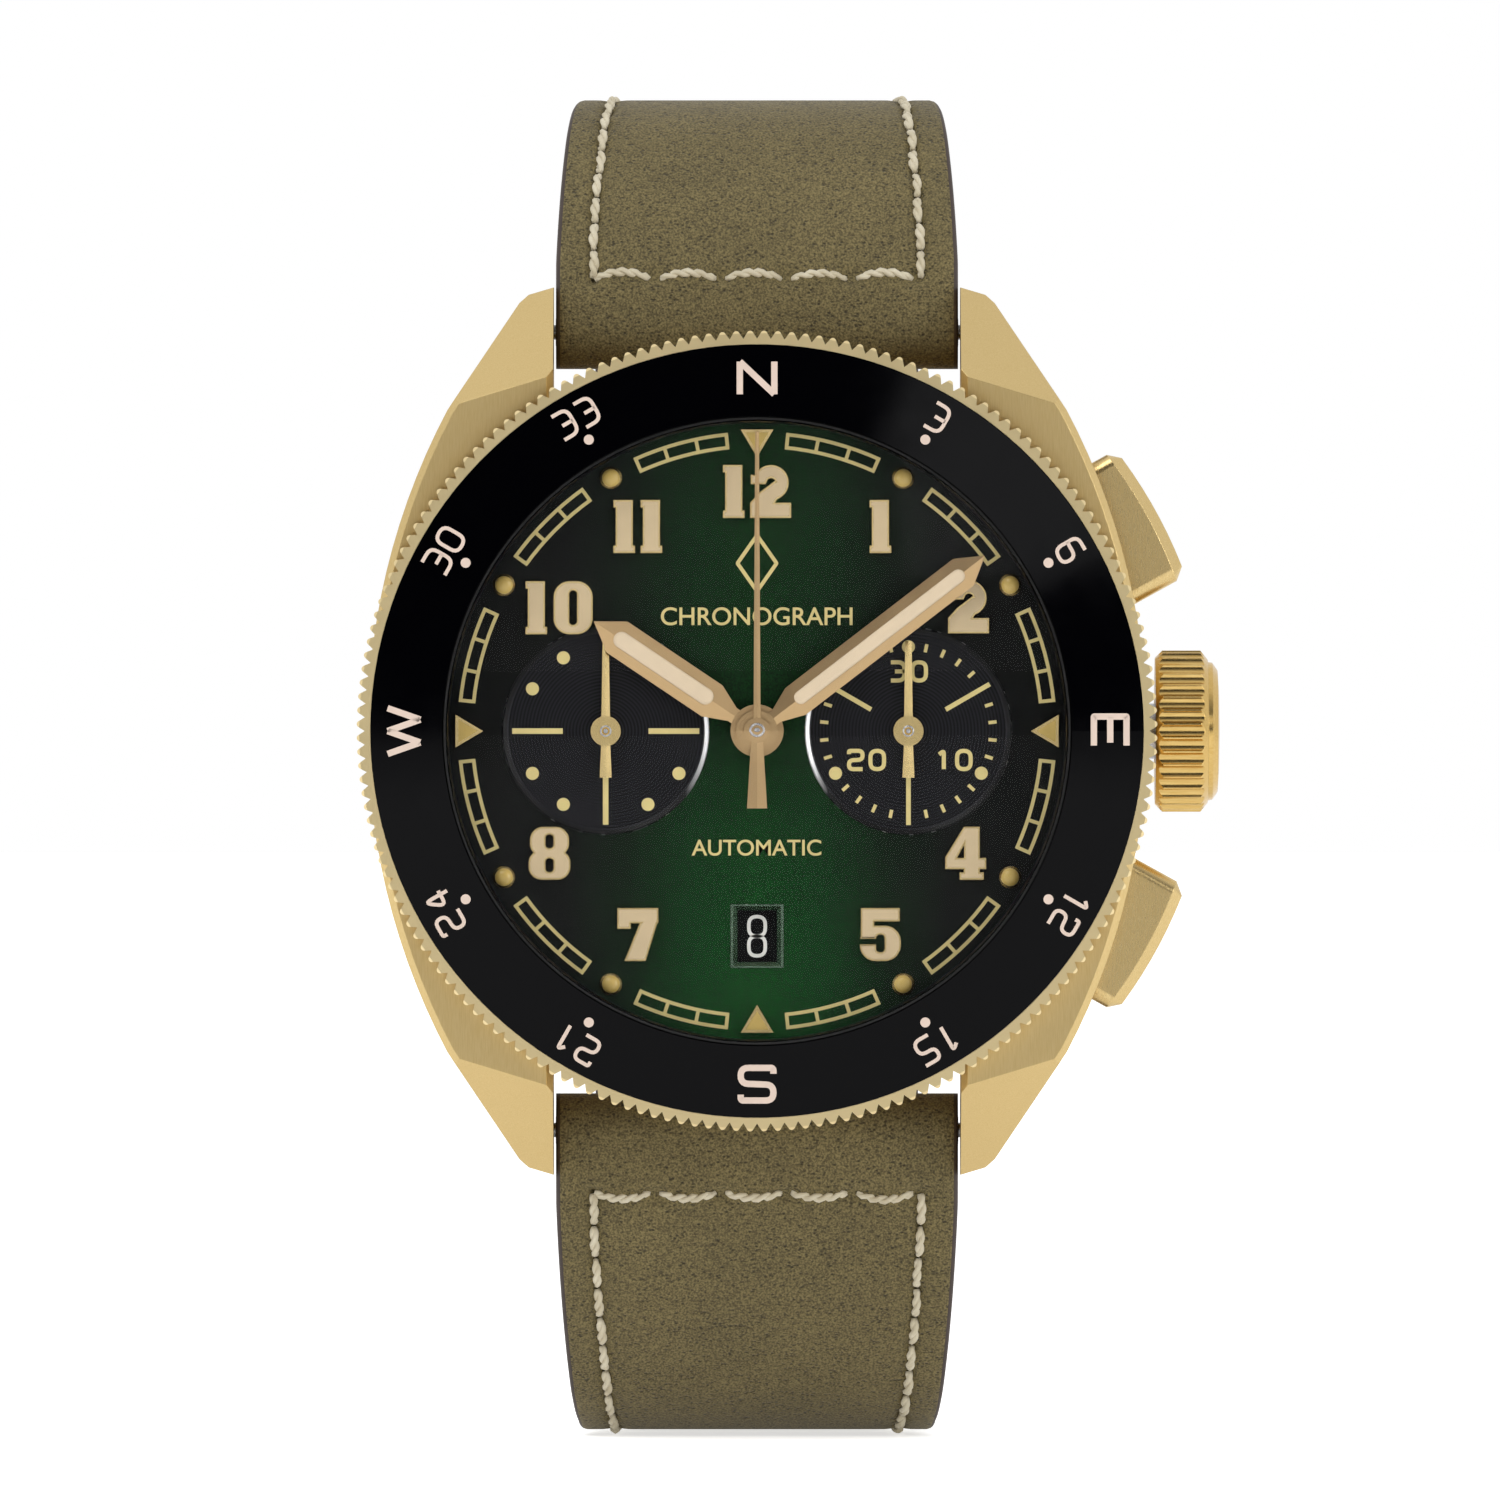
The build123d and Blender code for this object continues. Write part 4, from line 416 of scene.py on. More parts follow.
FINISHES = {
    "case": case_metal(),
    "crown": crown_metal(),
    "pusher": brushed_metal("brushed_pusher", BRONZE, BRONZE_DEEP, 0.28, (20.0, 20.0, 1.5)),
    "hand": polished_metal("polished_hand_bronze", linear(190, 160, 118), 0.3),
    "bezel": polished_metal("polished_bezel_bronze", linear(238, 216, 164), 0.3),
    "window": polished_metal("green_window_bevel", linear(120, 146, 124), 0.22),
    "gold": polished_metal("pale_gold_trim", GOLD, 0.24),
    "steel": brushed_metal("brushed_steel", linear(196, 196, 200), linear(182, 182, 186), 0.28,
                           (20.0, 20.0, 2.0)),
    "rhodium": brushed_metal("striped_rhodium", linear(206, 204, 198), linear(176, 174, 168), 0.26,
                             (1.5, 14.0, 1.5)),
    "brass": polished_metal("movement_brass", linear(206, 168, 96), 0.28),
    "blued": polished_metal("blued_steel", linear(52, 66, 112), 0.25),
    "sapphire": clear_sapphire(),
    "ruby": ruby(),
    "ceramic": ceramic(),
    "dial": dial_paint(),
    "register": register_paint(),
    "lume": enamel("cream_luminous_fill", linear(220, 199, 168), 0.55, 0.05),
    "numeral": enamel("cream_numeral_fill", linear(202, 180, 142), 0.5, 0.05),
    "amber": enamel("aged_amber_fill", linear(206, 176, 98), 0.3),
    "black": enamel("black_lacquer", linear(12, 12, 13), 0.4, gloss=0.12),
    "white": enamel("white_print", linear(232, 230, 224), 0.5),
    "marking": enamel("rose_white_marking", linear(226, 204, 188), 0.45, 0.06),
    "print": enamel("gold_print", linear(214, 196, 130), 0.4),
    "rubber": rubber(),
    "leather": nubuck("olive_nubuck", linear(136, 122, 80), linear(44, 38, 22)),
    "lining": nubuck("tan_lining", linear(168, 138, 98), linear(100, 76, 48)),
    "edge_paint": enamel("dark_edge_paint", linear(66, 54, 48), 0.6, 0.25),
    "thread": thread_material(),
}

NODE_FINISH = {
    "case": "mid_case case_back buckle_frame buckle_tongue rotor",
    "bezel": "bezel_ring",
    "window": "date_window_frame",
    "crown": "crown",
    "pusher": "pusher_start pusher_reset",
    "hand": "hour_hand minute_hand chrono_seconds_hand",
    "gold": "small_seconds_hand minute_counter_hand hour_markers applied_numerals balance_wheel",
    "steel": "movement_holder crown_tube pusher_tubes pusher_start_spring pusher_reset_spring spring_bars "
             "bezel_wire winding_stem cannon_pinion escape_wheel pallet_fork",
    "rhodium": "mainplate barrel_bridge train_bridge balance_cock automatic_bridge",
    "brass": "chrono_runner counter_idler minute_counter_wheel centre_wheel hour_wheel minute_wheel barrel "
             "third_wheel fourth_wheel",
    "blued": "bridge_screws mainspring hairspring",
    "sapphire": "crystal case_back_glass",
    "ruby": "jewels",
    "ceramic": "bezel_insert",
    "dial": "dial_plate",
    "register": "subdial_discs",
    "black": "dial_flange date_disc",
    "rubber": "case_gaskets crown_gasket",
    "leather": "fixed_keeper loose_keeper",
}


def finish_cad_nodes():
    """Give each CAD node listed in NODE_FINISH its finish."""
    for finish, nodes in NODE_FINISH.items():
        for node in nodes.split():
            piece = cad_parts[node]
            for slot in piece.material_slots:
                slot.material = FINISHES[finish]


# ---------------------------------------------------------------- flat prints and marks
def polar(radius, clockwise):
    """A place at a radius and an angle clockwise from 12 o'clock, in degrees."""
    return radius * math.sin(math.radians(clockwise)), radius * math.cos(math.radians(clockwise))


def sector(inner, outer, start, end, steps=8):
    """Outline of part of a ring, between two angles clockwise from 12 o'clock."""
    angles = [start + (end - start) * index / steps for index in range(steps + 1)]
    return [polar(outer, angle) for angle in angles] + [polar(inner, angle) for angle in reversed(angles)]


def spoke(inner, outer, clockwise, width):
    """A straight radial bar."""
    out = Vector(polar(1.0, clockwise))
    side = Vector((out.y, -out.x)) * width / 2
    return [tuple(out * inner + side), tuple(out * outer + side), tuple(out * outer - side),
            tuple(out * inner - side)]


def dot(x, y, radius, sides=28):
    return [(x + radius * math.cos(math.tau * index / sides), y + radius * math.sin(math.tau * index / sides))
            for index in range(sides)]


def rounded(points, radius, closed):
    """A path with its corners rounded off."""
    if closed:
        points = points[:-1]
    count = len(points)
    path = []
    for index, corner in enumerate(points):
        if not closed and index in (0, count - 1):
            path.append(Vector(corner))
            continue
        corner = Vector(corner)
        before = Vector(points[index - 1]) - corner
        after = Vector(points[(index + 1) % count]) - corner
        cut = min(radius, 0.49 * before.length, 0.49 * after.length)
        start = corner + before.normalized() * cut
        end = corner + after.normalized() * cut
        for step in range(6):
            share = step / 5
            path.append((1 - share) ** 2 * start + 2 * share * (1 - share) * corner + share**2 * end)
    return path


def ribbon(path, width, closed):
    """Quads of a stroke along a path, mitred at each point."""
    count = len(path)
    pairs = []
    for index, point in enumerate(path):
        before = path[index - 1] if index or closed else None
        after = path[(index + 1) % count] if index < count - 1 or closed else None
        along_in = (point - before).normalized() if before is not None else (after - point).normalized()
        along_out = (after - point).normalized() if after is not None else along_in
        mean = (along_in + along_out).normalized()
        normal = Vector((-mean.y, mean.x))
        spread = width / 2 / max(0.5, normal.dot(Vector((-along_in.y, along_in.x))))
        pairs.append((point + normal * spread, point - normal * spread))
    quads = []
    for index in range(count if closed else count - 1):
        left, right = pairs[index]
        next_left, next_right = pairs[(index + 1) % count]
        quads.append([tuple(left), tuple(next_left), tuple(next_right), tuple(right)])
    return quads


# strokes of each figure in a unit box; a stroke that ends where it starts is closed
FIGURES = {
    "0": [[(0, 0), (0, 1), (1, 1), (1, 0), (0, 0)]],
    "1": [[(0.25, 0.8), (0.6, 1), (0.6, 0)]],
    "2": [[(0, 0.82), (0, 1), (1, 1), (1, 0.52), (0, 0.48), (0, 0), (1, 0)]],
    "3": [[(0, 1), (1, 1), (1, 0), (0, 0)], [(0.3, 0.5), (1, 0.5)]],
    "4": [[(0.75, 0), (0.75, 1), (0, 0.3), (1, 0.3)]],
    "5": [[(1, 1), (0, 1), (0, 0.56), (1, 0.56), (1, 0), (0, 0)]],
    "6": [[(0.92, 1), (0, 1), (0, 0), (1, 0), (1, 0.56), (0, 0.56)]],
    "7": [[(0, 1), (1, 1), (0.35, 0)]],
    "8": [[(0, 0.5), (0, 1), (1, 1), (1, 0.5), (0, 0.5)], [(0, 0.5), (0, 0), (1, 0), (1, 0.5), (0, 0.5)]],
    "9": [[(1, 0.44), (0, 0.44), (0, 1), (1, 1), (1, 0), (0.08, 0)]],
    "N": [[(0, 0), (0, 1)], [(0, 1), (1, 0)], [(1, 0), (1, 1)]],
    "E": [[(1, 1), (0, 1), (0, 0), (1, 0)], [(0, 0.5), (0.9, 0.5)]],
    "S": [[(1, 0.82), (1, 1), (0, 1), (0, 0.52), (1, 0.48), (1, 0), (0, 0), (0, 0.18)]],
    "W": [[(0, 1), (0.25, 0)], [(0.25, 0), (0.5, 1)], [(0.5, 1), (0.75, 0)], [(0.75, 0), (1, 1)]],
}


def figures(text, height, width, stroke, gap, corner=0.3):
    """Quads of a short text, centred on the origin."""
    total = len(text) * width + (len(text) - 1) * gap
    tall = height - stroke
    wide = width - stroke
    quads = []
    for index, name in enumerate(text):
        left = -total / 2 + index * (width + gap) + stroke / 2
        for strokes in FIGURES[name]:
            closed = strokes[0] == strokes[-1]
            points = [(left + x * wide, -tall / 2 + y * tall) for x, y in strokes]
            quads += ribbon(rounded(points, corner, closed), stroke, closed)
    return quads


def turned(outlines, clockwise, shift=(0.0, 0.0)):
    """Outlines moved by shift, then turned clockwise about the hand axis."""
    angle = -math.radians(clockwise)
    sine = math.sin(angle)
    cosine = math.cos(angle)
    result = []
    for outline in outlines:
        moved = [(x + shift[0], y + shift[1]) for x, y in outline]
        result.append([(x * cosine - y * sine, x * sine + y * cosine) for x, y in moved])
    return result


def shifted(outlines, x, y):
    return [[(px + x, py + y) for px, py in outline] for outline in outlines]


def new_piece(name, mesh, finish, body):
    """Link a mesh as a piece that rides on a body."""
    piece = bpy.data.objects.new(name, mesh)
    bpy.context.scene.collection.objects.link(piece)
    mesh.materials.append(FINISHES[finish])
    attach(piece, body)
    return piece


def printed(name, outlines, base, finish, body, thickness=PRINT):
    """Thin raised prints: outlines on a surface whose bench height is base, a number or base(x, y)."""
    surface = base if callable(base) else (lambda x, y: base)
    mesh = bpy.data.meshes.new(name)
    shape = bmesh.new()
    for outline in outlines:
        top = [shape.verts.new(at(x, y, surface(x, y) + thickness)) for x, y in outline]
        foot = [shape.verts.new(at(x, y, surface(x, y) - 0.01)) for x, y in outline]
        shape.faces.new(top)
        shape.faces.new(list(reversed(foot)))
        for index in range(len(outline)):
            after = (index + 1) % len(outline)
            shape.faces.new((top[index], foot[index], foot[after], top[after]))
    bmesh.ops.remove_doubles(shape, verts=shape.verts, dist=1e-7)
    bmesh.ops.recalc_face_normals(shape, faces=shape.faces)
    shape.to_mesh(mesh)
    shape.free()
    piece = new_piece(name, mesh, finish, body)
    return piece


# ---------------------------------------------------------------- bezel markings
def insert_surface(x, y):
    return INSERT_LOW_Z + INSERT_THICKNESS + INSERT_RISE * (INSERT_OUTER - math.hypot(x, y))


def bezel_markings():
    """Compass letters and headings round the insert, read from outside in, with a dot under each number."""
    marks = ("N", "3", "6", "E", "12", "15", "S", "21", "24", "W", "30", "33")
    outlines = []
    for index, text in enumerate(marks):
        if text.isdigit():
            shape = figures(text, 1.62, 1.12, 0.2, 0.24, 0.46)
            outlines += turned(shape, 30 * index, (0, 19.45))
            outlines += turned([dot(0, 18.1, 0.27)], 30 * index)
        else:
            wide = {"N": 2.2, "E": 1.9, "S": 2.1, "W": 2.8}[text]
            outlines += turned(figures(text, 2.1, wide, 0.34, 0.0, 0.5 if text == "S" else 0.04),
                               30 * index, (0, 19.0))
    printed("bezel_markings", outlines, insert_surface, "marking", "bezel")


# ---------------------------------------------------------------- dial furniture
def minute_track():
    """Twelve outlined boxes of three cells each, between the hour markers."""
    line = 0.19
    inner, outer = 15.2, 16.1
    start, end = 5.6, 24.4
    outlines = []
    for hour in range(12):
        first = 30 * hour + start
        last = 30 * hour + end
        outlines.append(sector(inner, inner + line, first, last))
        outlines.append(sector(outer - line, outer, first, last))
        cell = (last - first) / 3
        for index in range(4):
            half = math.degrees(line / 2 / outer)
            nudge = half if index == 0 else -half if index == 3 else 0
            outlines.append(spoke(inner + line, outer - line, first + cell * index + nudge, line))
    printed("minute_track", outlines, DIAL_TOP, "print", "case")


def marker_fills():
    """Aged fill in the pearls and arrowheads."""
    pearls = []
    arrows = []
    for hour in range(12):
        if hour % 3:
            pearls.append(polar(15.7, 30 * hour))
        else:
            arrows += turned([[(-0.62, 16.04), (0.62, 16.04), (0, 15.02)]], 30 * hour)
    printed("arrowhead_fill", arrows, DIAL_TOP + 0.3, "amber", "case", 0.02)
    mesh = bpy.data.meshes.new("pearl_fill")
    shape = bmesh.new()
    base = DIAL_TOP + 0.13
    for x, y in pearls:
        rings = []
        for radius, height in ((0.5, 0.0), (0.47, 0.1), (0.38, 0.2), (0.24, 0.27), (0.1, 0.3)):
            rings.append([shape.verts.new(at(px, py, base + height)) for px, py in dot(x, y, radius, 24)])
        for lower, upper in zip(rings, rings[1:]):
            for index in range(24):
                after = (index + 1) % 24
                shape.faces.new((lower[index], lower[after], upper[after], upper[index]))
        shape.faces.new(rings[-1])
        shape.faces.new(list(reversed(rings[0])))
    bmesh.ops.recalc_face_normals(shape, faces=shape.faces)
    for face in shape.faces:
        face.smooth = True
    shape.to_mesh(mesh)
    shape.free()
    piece = new_piece("pearl_fill", mesh, "amber", "case")


def numeral_faces():
    """Cream fill on the applied numerals, set in from their gold edges."""
    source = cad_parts["applied_numerals"].data
    shape = bmesh.new()
    shape.from_mesh(source)
    bmesh.ops.remove_doubles(shape, verts=shape.verts, dist=1e-7)
    others = [face for face in shape.faces if face.normal.y > -0.99]
    bmesh.ops.delete(shape, geom=others, context="FACES")
    bmesh.ops.inset_region(shape, faces=shape.faces, thickness=0.085 * MM, use_even_offset=True,
                           use_boundary=True)
    rim = [face for face in shape.faces if any(edge.is_boundary for edge in face.edges)]
    bmesh.ops.delete(shape, geom=rim, context="FACES")
    for vert in shape.verts:
        vert.co.y -= 0.025 * MM
    result = bmesh.ops.extrude_face_region(shape, geom=shape.faces[:])
    for item in result["geom"]:
        if isinstance(item, bmesh.types.BMVert):
            item.co.y += 0.05 * MM
    bmesh.ops.recalc_face_normals(shape, faces=shape.faces)
    mesh = bpy.data.meshes.new("numeral_fill")
    shape.to_mesh(mesh)
    shape.free()
    piece = new_piece("numeral_fill", mesh, "numeral", "case")


def register_prints():
    """Small seconds scale on the left, thirty-minute scale on the right."""
    left = []
    right = []
    for hour in range(12):
        if hour % 3 == 0:
            left.append(spoke(2.3, 5.02, 30 * hour, 0.3))
        else:
            left.append(dot(*polar(4.54, 30 * hour), 0.35))
    for minute in range(30):
        angle = 12 * minute
        if minute % 10 == 0:
            right.append(dot(*polar(4.52, angle), 0.35))
        elif minute % 5 == 0:
            right.append(spoke(2.31, 5.04, angle, 0.25))
        else:
            right.append(spoke(4.32, 4.76, angle, 0.18))
    for text, place in (("30", (0.0, 3.2)), ("10", (2.4, -1.55)), ("20", (-2.25, -1.55))):
        right += shifted(figures(text, 1.2, 0.95, 0.22, 0.2, 0.42), *place)
    printed("small_seconds_scale", shifted(left, -REGISTER_X, 0), REGISTER_FLOOR, "print", "case")
    printed("minute_counter_scale", shifted(right, REGISTER_X, 0), REGISTER_FLOOR, "print", "case")


def dial_words():
    """Plain lozenge and the words that say what the movement does."""
    lozenge = [(0, 1.5), (1.05, 0), (0, -1.5), (-1.05, 0), (0, 1.5)]
    path = rounded(lozenge, 0.05, True)
    printed("lozenge_mark", shifted(ribbon(path, 0.2, True), 0, 9.0), DIAL_TOP, "print", "case")
    for name, text, y, size in (("word_chronograph", "CHRONOGRAPH", 6.1, 1.35),
                                ("word_automatic", "AUTOMATIC", -6.3, 1.2)):
        curve = bpy.data.curves.new(name, "FONT")
        curve.body = text
        curve.size = size * MM
        curve.align_x = "CENTER"
        curve.align_y = "CENTER"
        curve.extrude = 0.015 * MM
        curve.offset = 0.012 * MM
        words = bpy.data.objects.new(name + "_curve", curve)
        bpy.context.scene.collection.objects.link(words)
        bpy.context.view_layer.update()
        mesh = bpy.data.meshes.new_from_object(words.evaluated_get(bpy.context.evaluated_depsgraph_get()))
        bpy.data.objects.remove(words)
        mesh.transform(Matrix.Translation(at(0, y, DIAL_TOP + 0.01)) @ Matrix.Rotation(math.radians(90), 4,
                                                                                       "X"))
        mesh.materials.clear()
        piece = new_piece(name, mesh, "print", "case")


def date_figures():
    """Thirty-one dates round the disc; the eighth stands in the window."""
    outlines = []
    for day in range(1, 32):
        wide = 1.07 if day < 10 else 0.86
        shape = figures(str(day), 2.3, wide, 0.19, 0.16, 0.5)
        shape = [[(-x, -y) for x, y in outline] for outline in shape]
        outlines += turned(shape, (day - 8) * 360 / 31, (0, 11.0))
    # the dates are read at 6 o'clock, so the ring of figures is turned half round
    outlines = [[(-x, -y) for x, y in outline] for outline in outlines]
    printed("date_figures", outlines, DATE_TOP, "white", "date", 0.02)


def hand_fill(name, width, start, end, top, clockwise, body):
    """Domed luminous strip in a hand's slot."""
    half = width / 2 - 0.02
    mesh = bpy.data.meshes.new(name)
    shape = bmesh.new()
    rings = []
    for inset, height in ((0.0, -0.14), (0.0, -0.02), (0.06, 0.03), (0.18, 0.055)):
        outline = []
        for step in range(17):
            angle = math.pi * step / 16
            outline.append(((half - inset) * math.cos(angle), end - half + (half - inset) * math.sin(angle)))
        for step in range(17):
            angle = math.pi + math.pi * step / 16
            outline.append(((half - inset) * math.cos(angle),
                            start + half + (half - inset) * math.sin(angle)))
        outline = turned([outline], clockwise)[0]
        rings.append([shape.verts.new(at(x, y, top + height)) for x, y in outline])
    count = len(rings[0])
    for lower, upper in zip(rings, rings[1:]):
        for index in range(count):
            after = (index + 1) % count
            shape.faces.new((lower[index], lower[after], upper[after], upper[index]))
    shape.faces.new(rings[-1])
    shape.faces.new(list(reversed(rings[0])))
    bmesh.ops.recalc_face_normals(shape, faces=shape.faces)
    shape.to_mesh(mesh)
    shape.free()
    piece = new_piece(name, mesh, "lume", body)


def pivot_cap(name, x, top, scale, body):
    """A turned steel pivot at the middle of a hand, in a countersink painted black as its shade."""
    profile = ((0.0, 0.05), (0.13, 0.05), (0.17, 0.01), (0.2, -0.02), (0.3, -0.02), (0.33, 0.04),
               (0.4, 0.04), (0.44, 0.0))
    mesh = bpy.data.meshes.new(name)
    shape = bmesh.new()
    rings = []
    for radius, height in profile[1:]:
        rings.append([shape.verts.new(at(px, py, top + height * scale))
                      for px, py in dot(x, 0, radius * scale, 24)])
    rings.append([shape.verts.new(at(px, py, top - 0.06))
                  for px, py in dot(x, 0, profile[-1][0] * scale, 24)])
    shape.faces.new(rings[0])
    shape.faces.new(list(reversed(rings[-1])))
    for place, (inner, outer) in enumerate(zip(rings, rings[1:])):
        for index in range(24):
            after = (index + 1) % 24
            face = shape.faces.new((inner[index], outer[index], outer[after], inner[after]))
            # painted shade: the countersink's inner slope and floor take the black lacquer
            if place in (1, 2):
                face.material_index = 1
    bmesh.ops.recalc_face_normals(shape, faces=shape.faces)
    shape.to_mesh(mesh)
    shape.free()
    piece = new_piece(name, mesh, "steel", body)
    mesh.materials.append(FINISHES["black"])


def hub_tops():
    """Highest point of each hand's hub, found near its axis."""
    tops = {}
    for node, x in (("chrono_seconds_hand", 0.0), ("small_seconds_hand", -REGISTER_X),
                    ("minute_counter_hand", REGISTER_X)):
        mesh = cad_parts[node].data
        near = [-vert.co.y / MM for vert in mesh.vertices
                if math.hypot(vert.co.x / MM - x, vert.co.z / MM) < 0.7]
        tops[node] = max(near)
    return tops


def pivots():
    tops = hub_tops()
    pivot_cap("chrono_seconds_pivot", 0.0, tops["chrono_seconds_hand"], 1.0, "chrono_seconds")
    pivot_cap("small_seconds_pivot", -REGISTER_X, tops["small_seconds_hand"], 0.72, "small_seconds")
    pivot_cap("minute_counter_pivot", REGISTER_X, tops["minute_counter_hand"], 0.72, "minute_counter")


# ---------------------------------------------------------------- strap
LUG_GAP = 22.0
STRAP_CLEAR = 0.12
BAR_Y = 21.6
BAR_Z = 2.6
THICKNESS = 2.4
LUG_THICKNESS = 4.0
PAD_LENGTH = 16.2
BEND_WIDTH = 19.5
BUCKLE_WIDTH = 18.0
LAYER_GAP = 0.2
BUCKLE_BAR_Y = 2.0
LAST_BEND = 70
UPPER_LAST_RADIUS = 12.0
LOWER_LAST_RADIUS = 20.0
TAIL_TURN = 66
ROLL_RADIUS = LUG_THICKNESS / 2
STATION = 0.3


def arc_move(degrees, radius, side):
    return math.radians(degrees) * radius, side * degrees


def lay_route(start, heading, moves):
    """Stretches of the strap's side view: each move is (length, degrees turned)."""
    stretches = []
    y, z = start
    angle = math.radians(heading)
    travelled = 0.0
    for length, turn in moves:
        stretch = (travelled, length, y, z, angle, math.radians(turn) / length)
        stretches.append(stretch)
        y, z, angle = along(stretch, length)
        travelled += length
    return stretches


def along(stretch, distance):
    """Place and heading a distance into a stretch."""
    y, z, start, bend = stretch[2:]
    angle = start + bend * distance
    if bend:
        return (y + (math.sin(angle) - math.sin(start)) / bend,
                z - (math.cos(angle) - math.cos(start)) / bend, angle)
    return y + distance * math.cos(start), z + distance * math.sin(start), angle


def end_of(stretches):
    return along(stretches[-1], stretches[-1][1])


def upper_route():
    moves = [arc_move(34, 17.5, -1), arc_move(48, 7.0, -1), arc_move(20, 73.7, -1),
             arc_move(LAST_BEND, UPPER_LAST_RADIUS, -1)]
    bend_end = end_of(lay_route((BAR_Y, BAR_Z), -8, moves))
    return lay_route((BAR_Y, BAR_Z), -8, moves + [(bend_end[0] - BUCKLE_BAR_Y, 0)]), bend_end


def lower_route(bend_end):
    start = (-BAR_Y, BAR_Z)
    side = [arc_move(34, 24.5, 1), arc_move(48, 7.0, 1), arc_move(20, 56.0, 1), (1.0, 0),
            arc_move(LAST_BEND, LOWER_LAST_RADIUS, 1)]
    pitch = THICKNESS + LAYER_GAP
    drop = end_of(lay_route(start, 188, side))[1] - (bend_end[1] - pitch)
    side[3] = (1.0 + drop / math.sin(math.radians(LAST_BEND)), 0)
    flat = (bend_end[0] - end_of(lay_route(start, 188, side))[0], 0)
    return lay_route(start, 188, side + [flat, arc_move(TAIL_TURN, UPPER_LAST_RADIUS + pitch, 1)])


UPPER, UPPER_BEND_END = upper_route()
LOWER = lower_route(UPPER_BEND_END)


def route_length(route):
    return route[-1][0] + route[-1][1]


def route_place(route, distance):
    """Place and heading a distance along a whole route, running straight on before its start."""
    for stretch in route:
        if distance <= stretch[0] + stretch[1] or stretch is route[-1]:
            return along(stretch, distance - stretch[0])


def strap_width(z):
    """Width of the strap by its height over the case back."""
    points = ((-60.0, BUCKLE_WIDTH), (-26.0, BUCKLE_WIDTH), (-7.0, BEND_WIDTH),
              (1.8, LUG_GAP - 2 * STRAP_CLEAR),
              (9.0, LUG_GAP - 2 * STRAP_CLEAR))
    for (low, narrow), (high, wide) in zip(points, points[1:]):
        if z <= high:
            return narrow + (wide - narrow) * (z - low) / (high - low)
    return points[-1][1]


def strap_thickness(distance):
    taper = min(1.0, max(0.0, 1 - distance / PAD_LENGTH))
    return THICKNESS + (LUG_THICKNESS - THICKNESS) * taper


ROW_INSET = 2.0
STITCH_SHARE = 0.84
CROSS_STITCHES = 5
CROSS_BOW = 0.22
EDGE_ROUNDING = 0.45
BEHIND_WRIST = -25.0
TONGUE_NOTCH = 2.2
HOLE_PITCH = 6.5
KEEPER_WALL = 0.9
KEEPER_CORNER = 1.2


def stitch_rows(route, cross_at, end_gap, edge_pitch):
    """Where each stitch starts and ends, as (distance, x) pairs: a cross row and two edge rows."""
    stitches = []
    half = strap_width(route_place(route, cross_at)[1]) / 2 - ROW_INSET
    pitch = 2 * half / CROSS_STITCHES
    for index in range(CROSS_STITCHES):
        start = -half + pitch * index
        stitches.append(((cross_at, start + 0.12), (cross_at, start + pitch - 0.5)))
    count = int((route_length(route) - end_gap - cross_at) / edge_pitch)
    for edge in (-1, 1):
        for index in range(count):
            start = cross_at + 0.1 + edge_pitch * index
            ends = []
            for distance in (start, start + STITCH_SHARE * edge_pitch):
                ends.append((distance, edge * (strap_width(route_place(route, distance)[1]) / 2 - ROW_INSET)))
            stitches.append(tuple(ends))
    return stitches


def edge_distances():
    """How far the rows of the mesh stand from the strap's edge where it rounds over."""
    return [EDGE_ROUNDING * (1 - math.cos(math.radians(angle))) for angle in (0, 20, 40, 60, 90)]


def cross_places(half, steps):
    """Places across the strap from one edge to the other, close together where the edge rounds over."""
    near = edge_distances()
    left = [-half + gap for gap in near]
    inner = half - near[-1]
    middle = [-inner + 2 * inner * index / steps for index in range(1, steps)]
    return left + middle + [-x for x in reversed(left)]


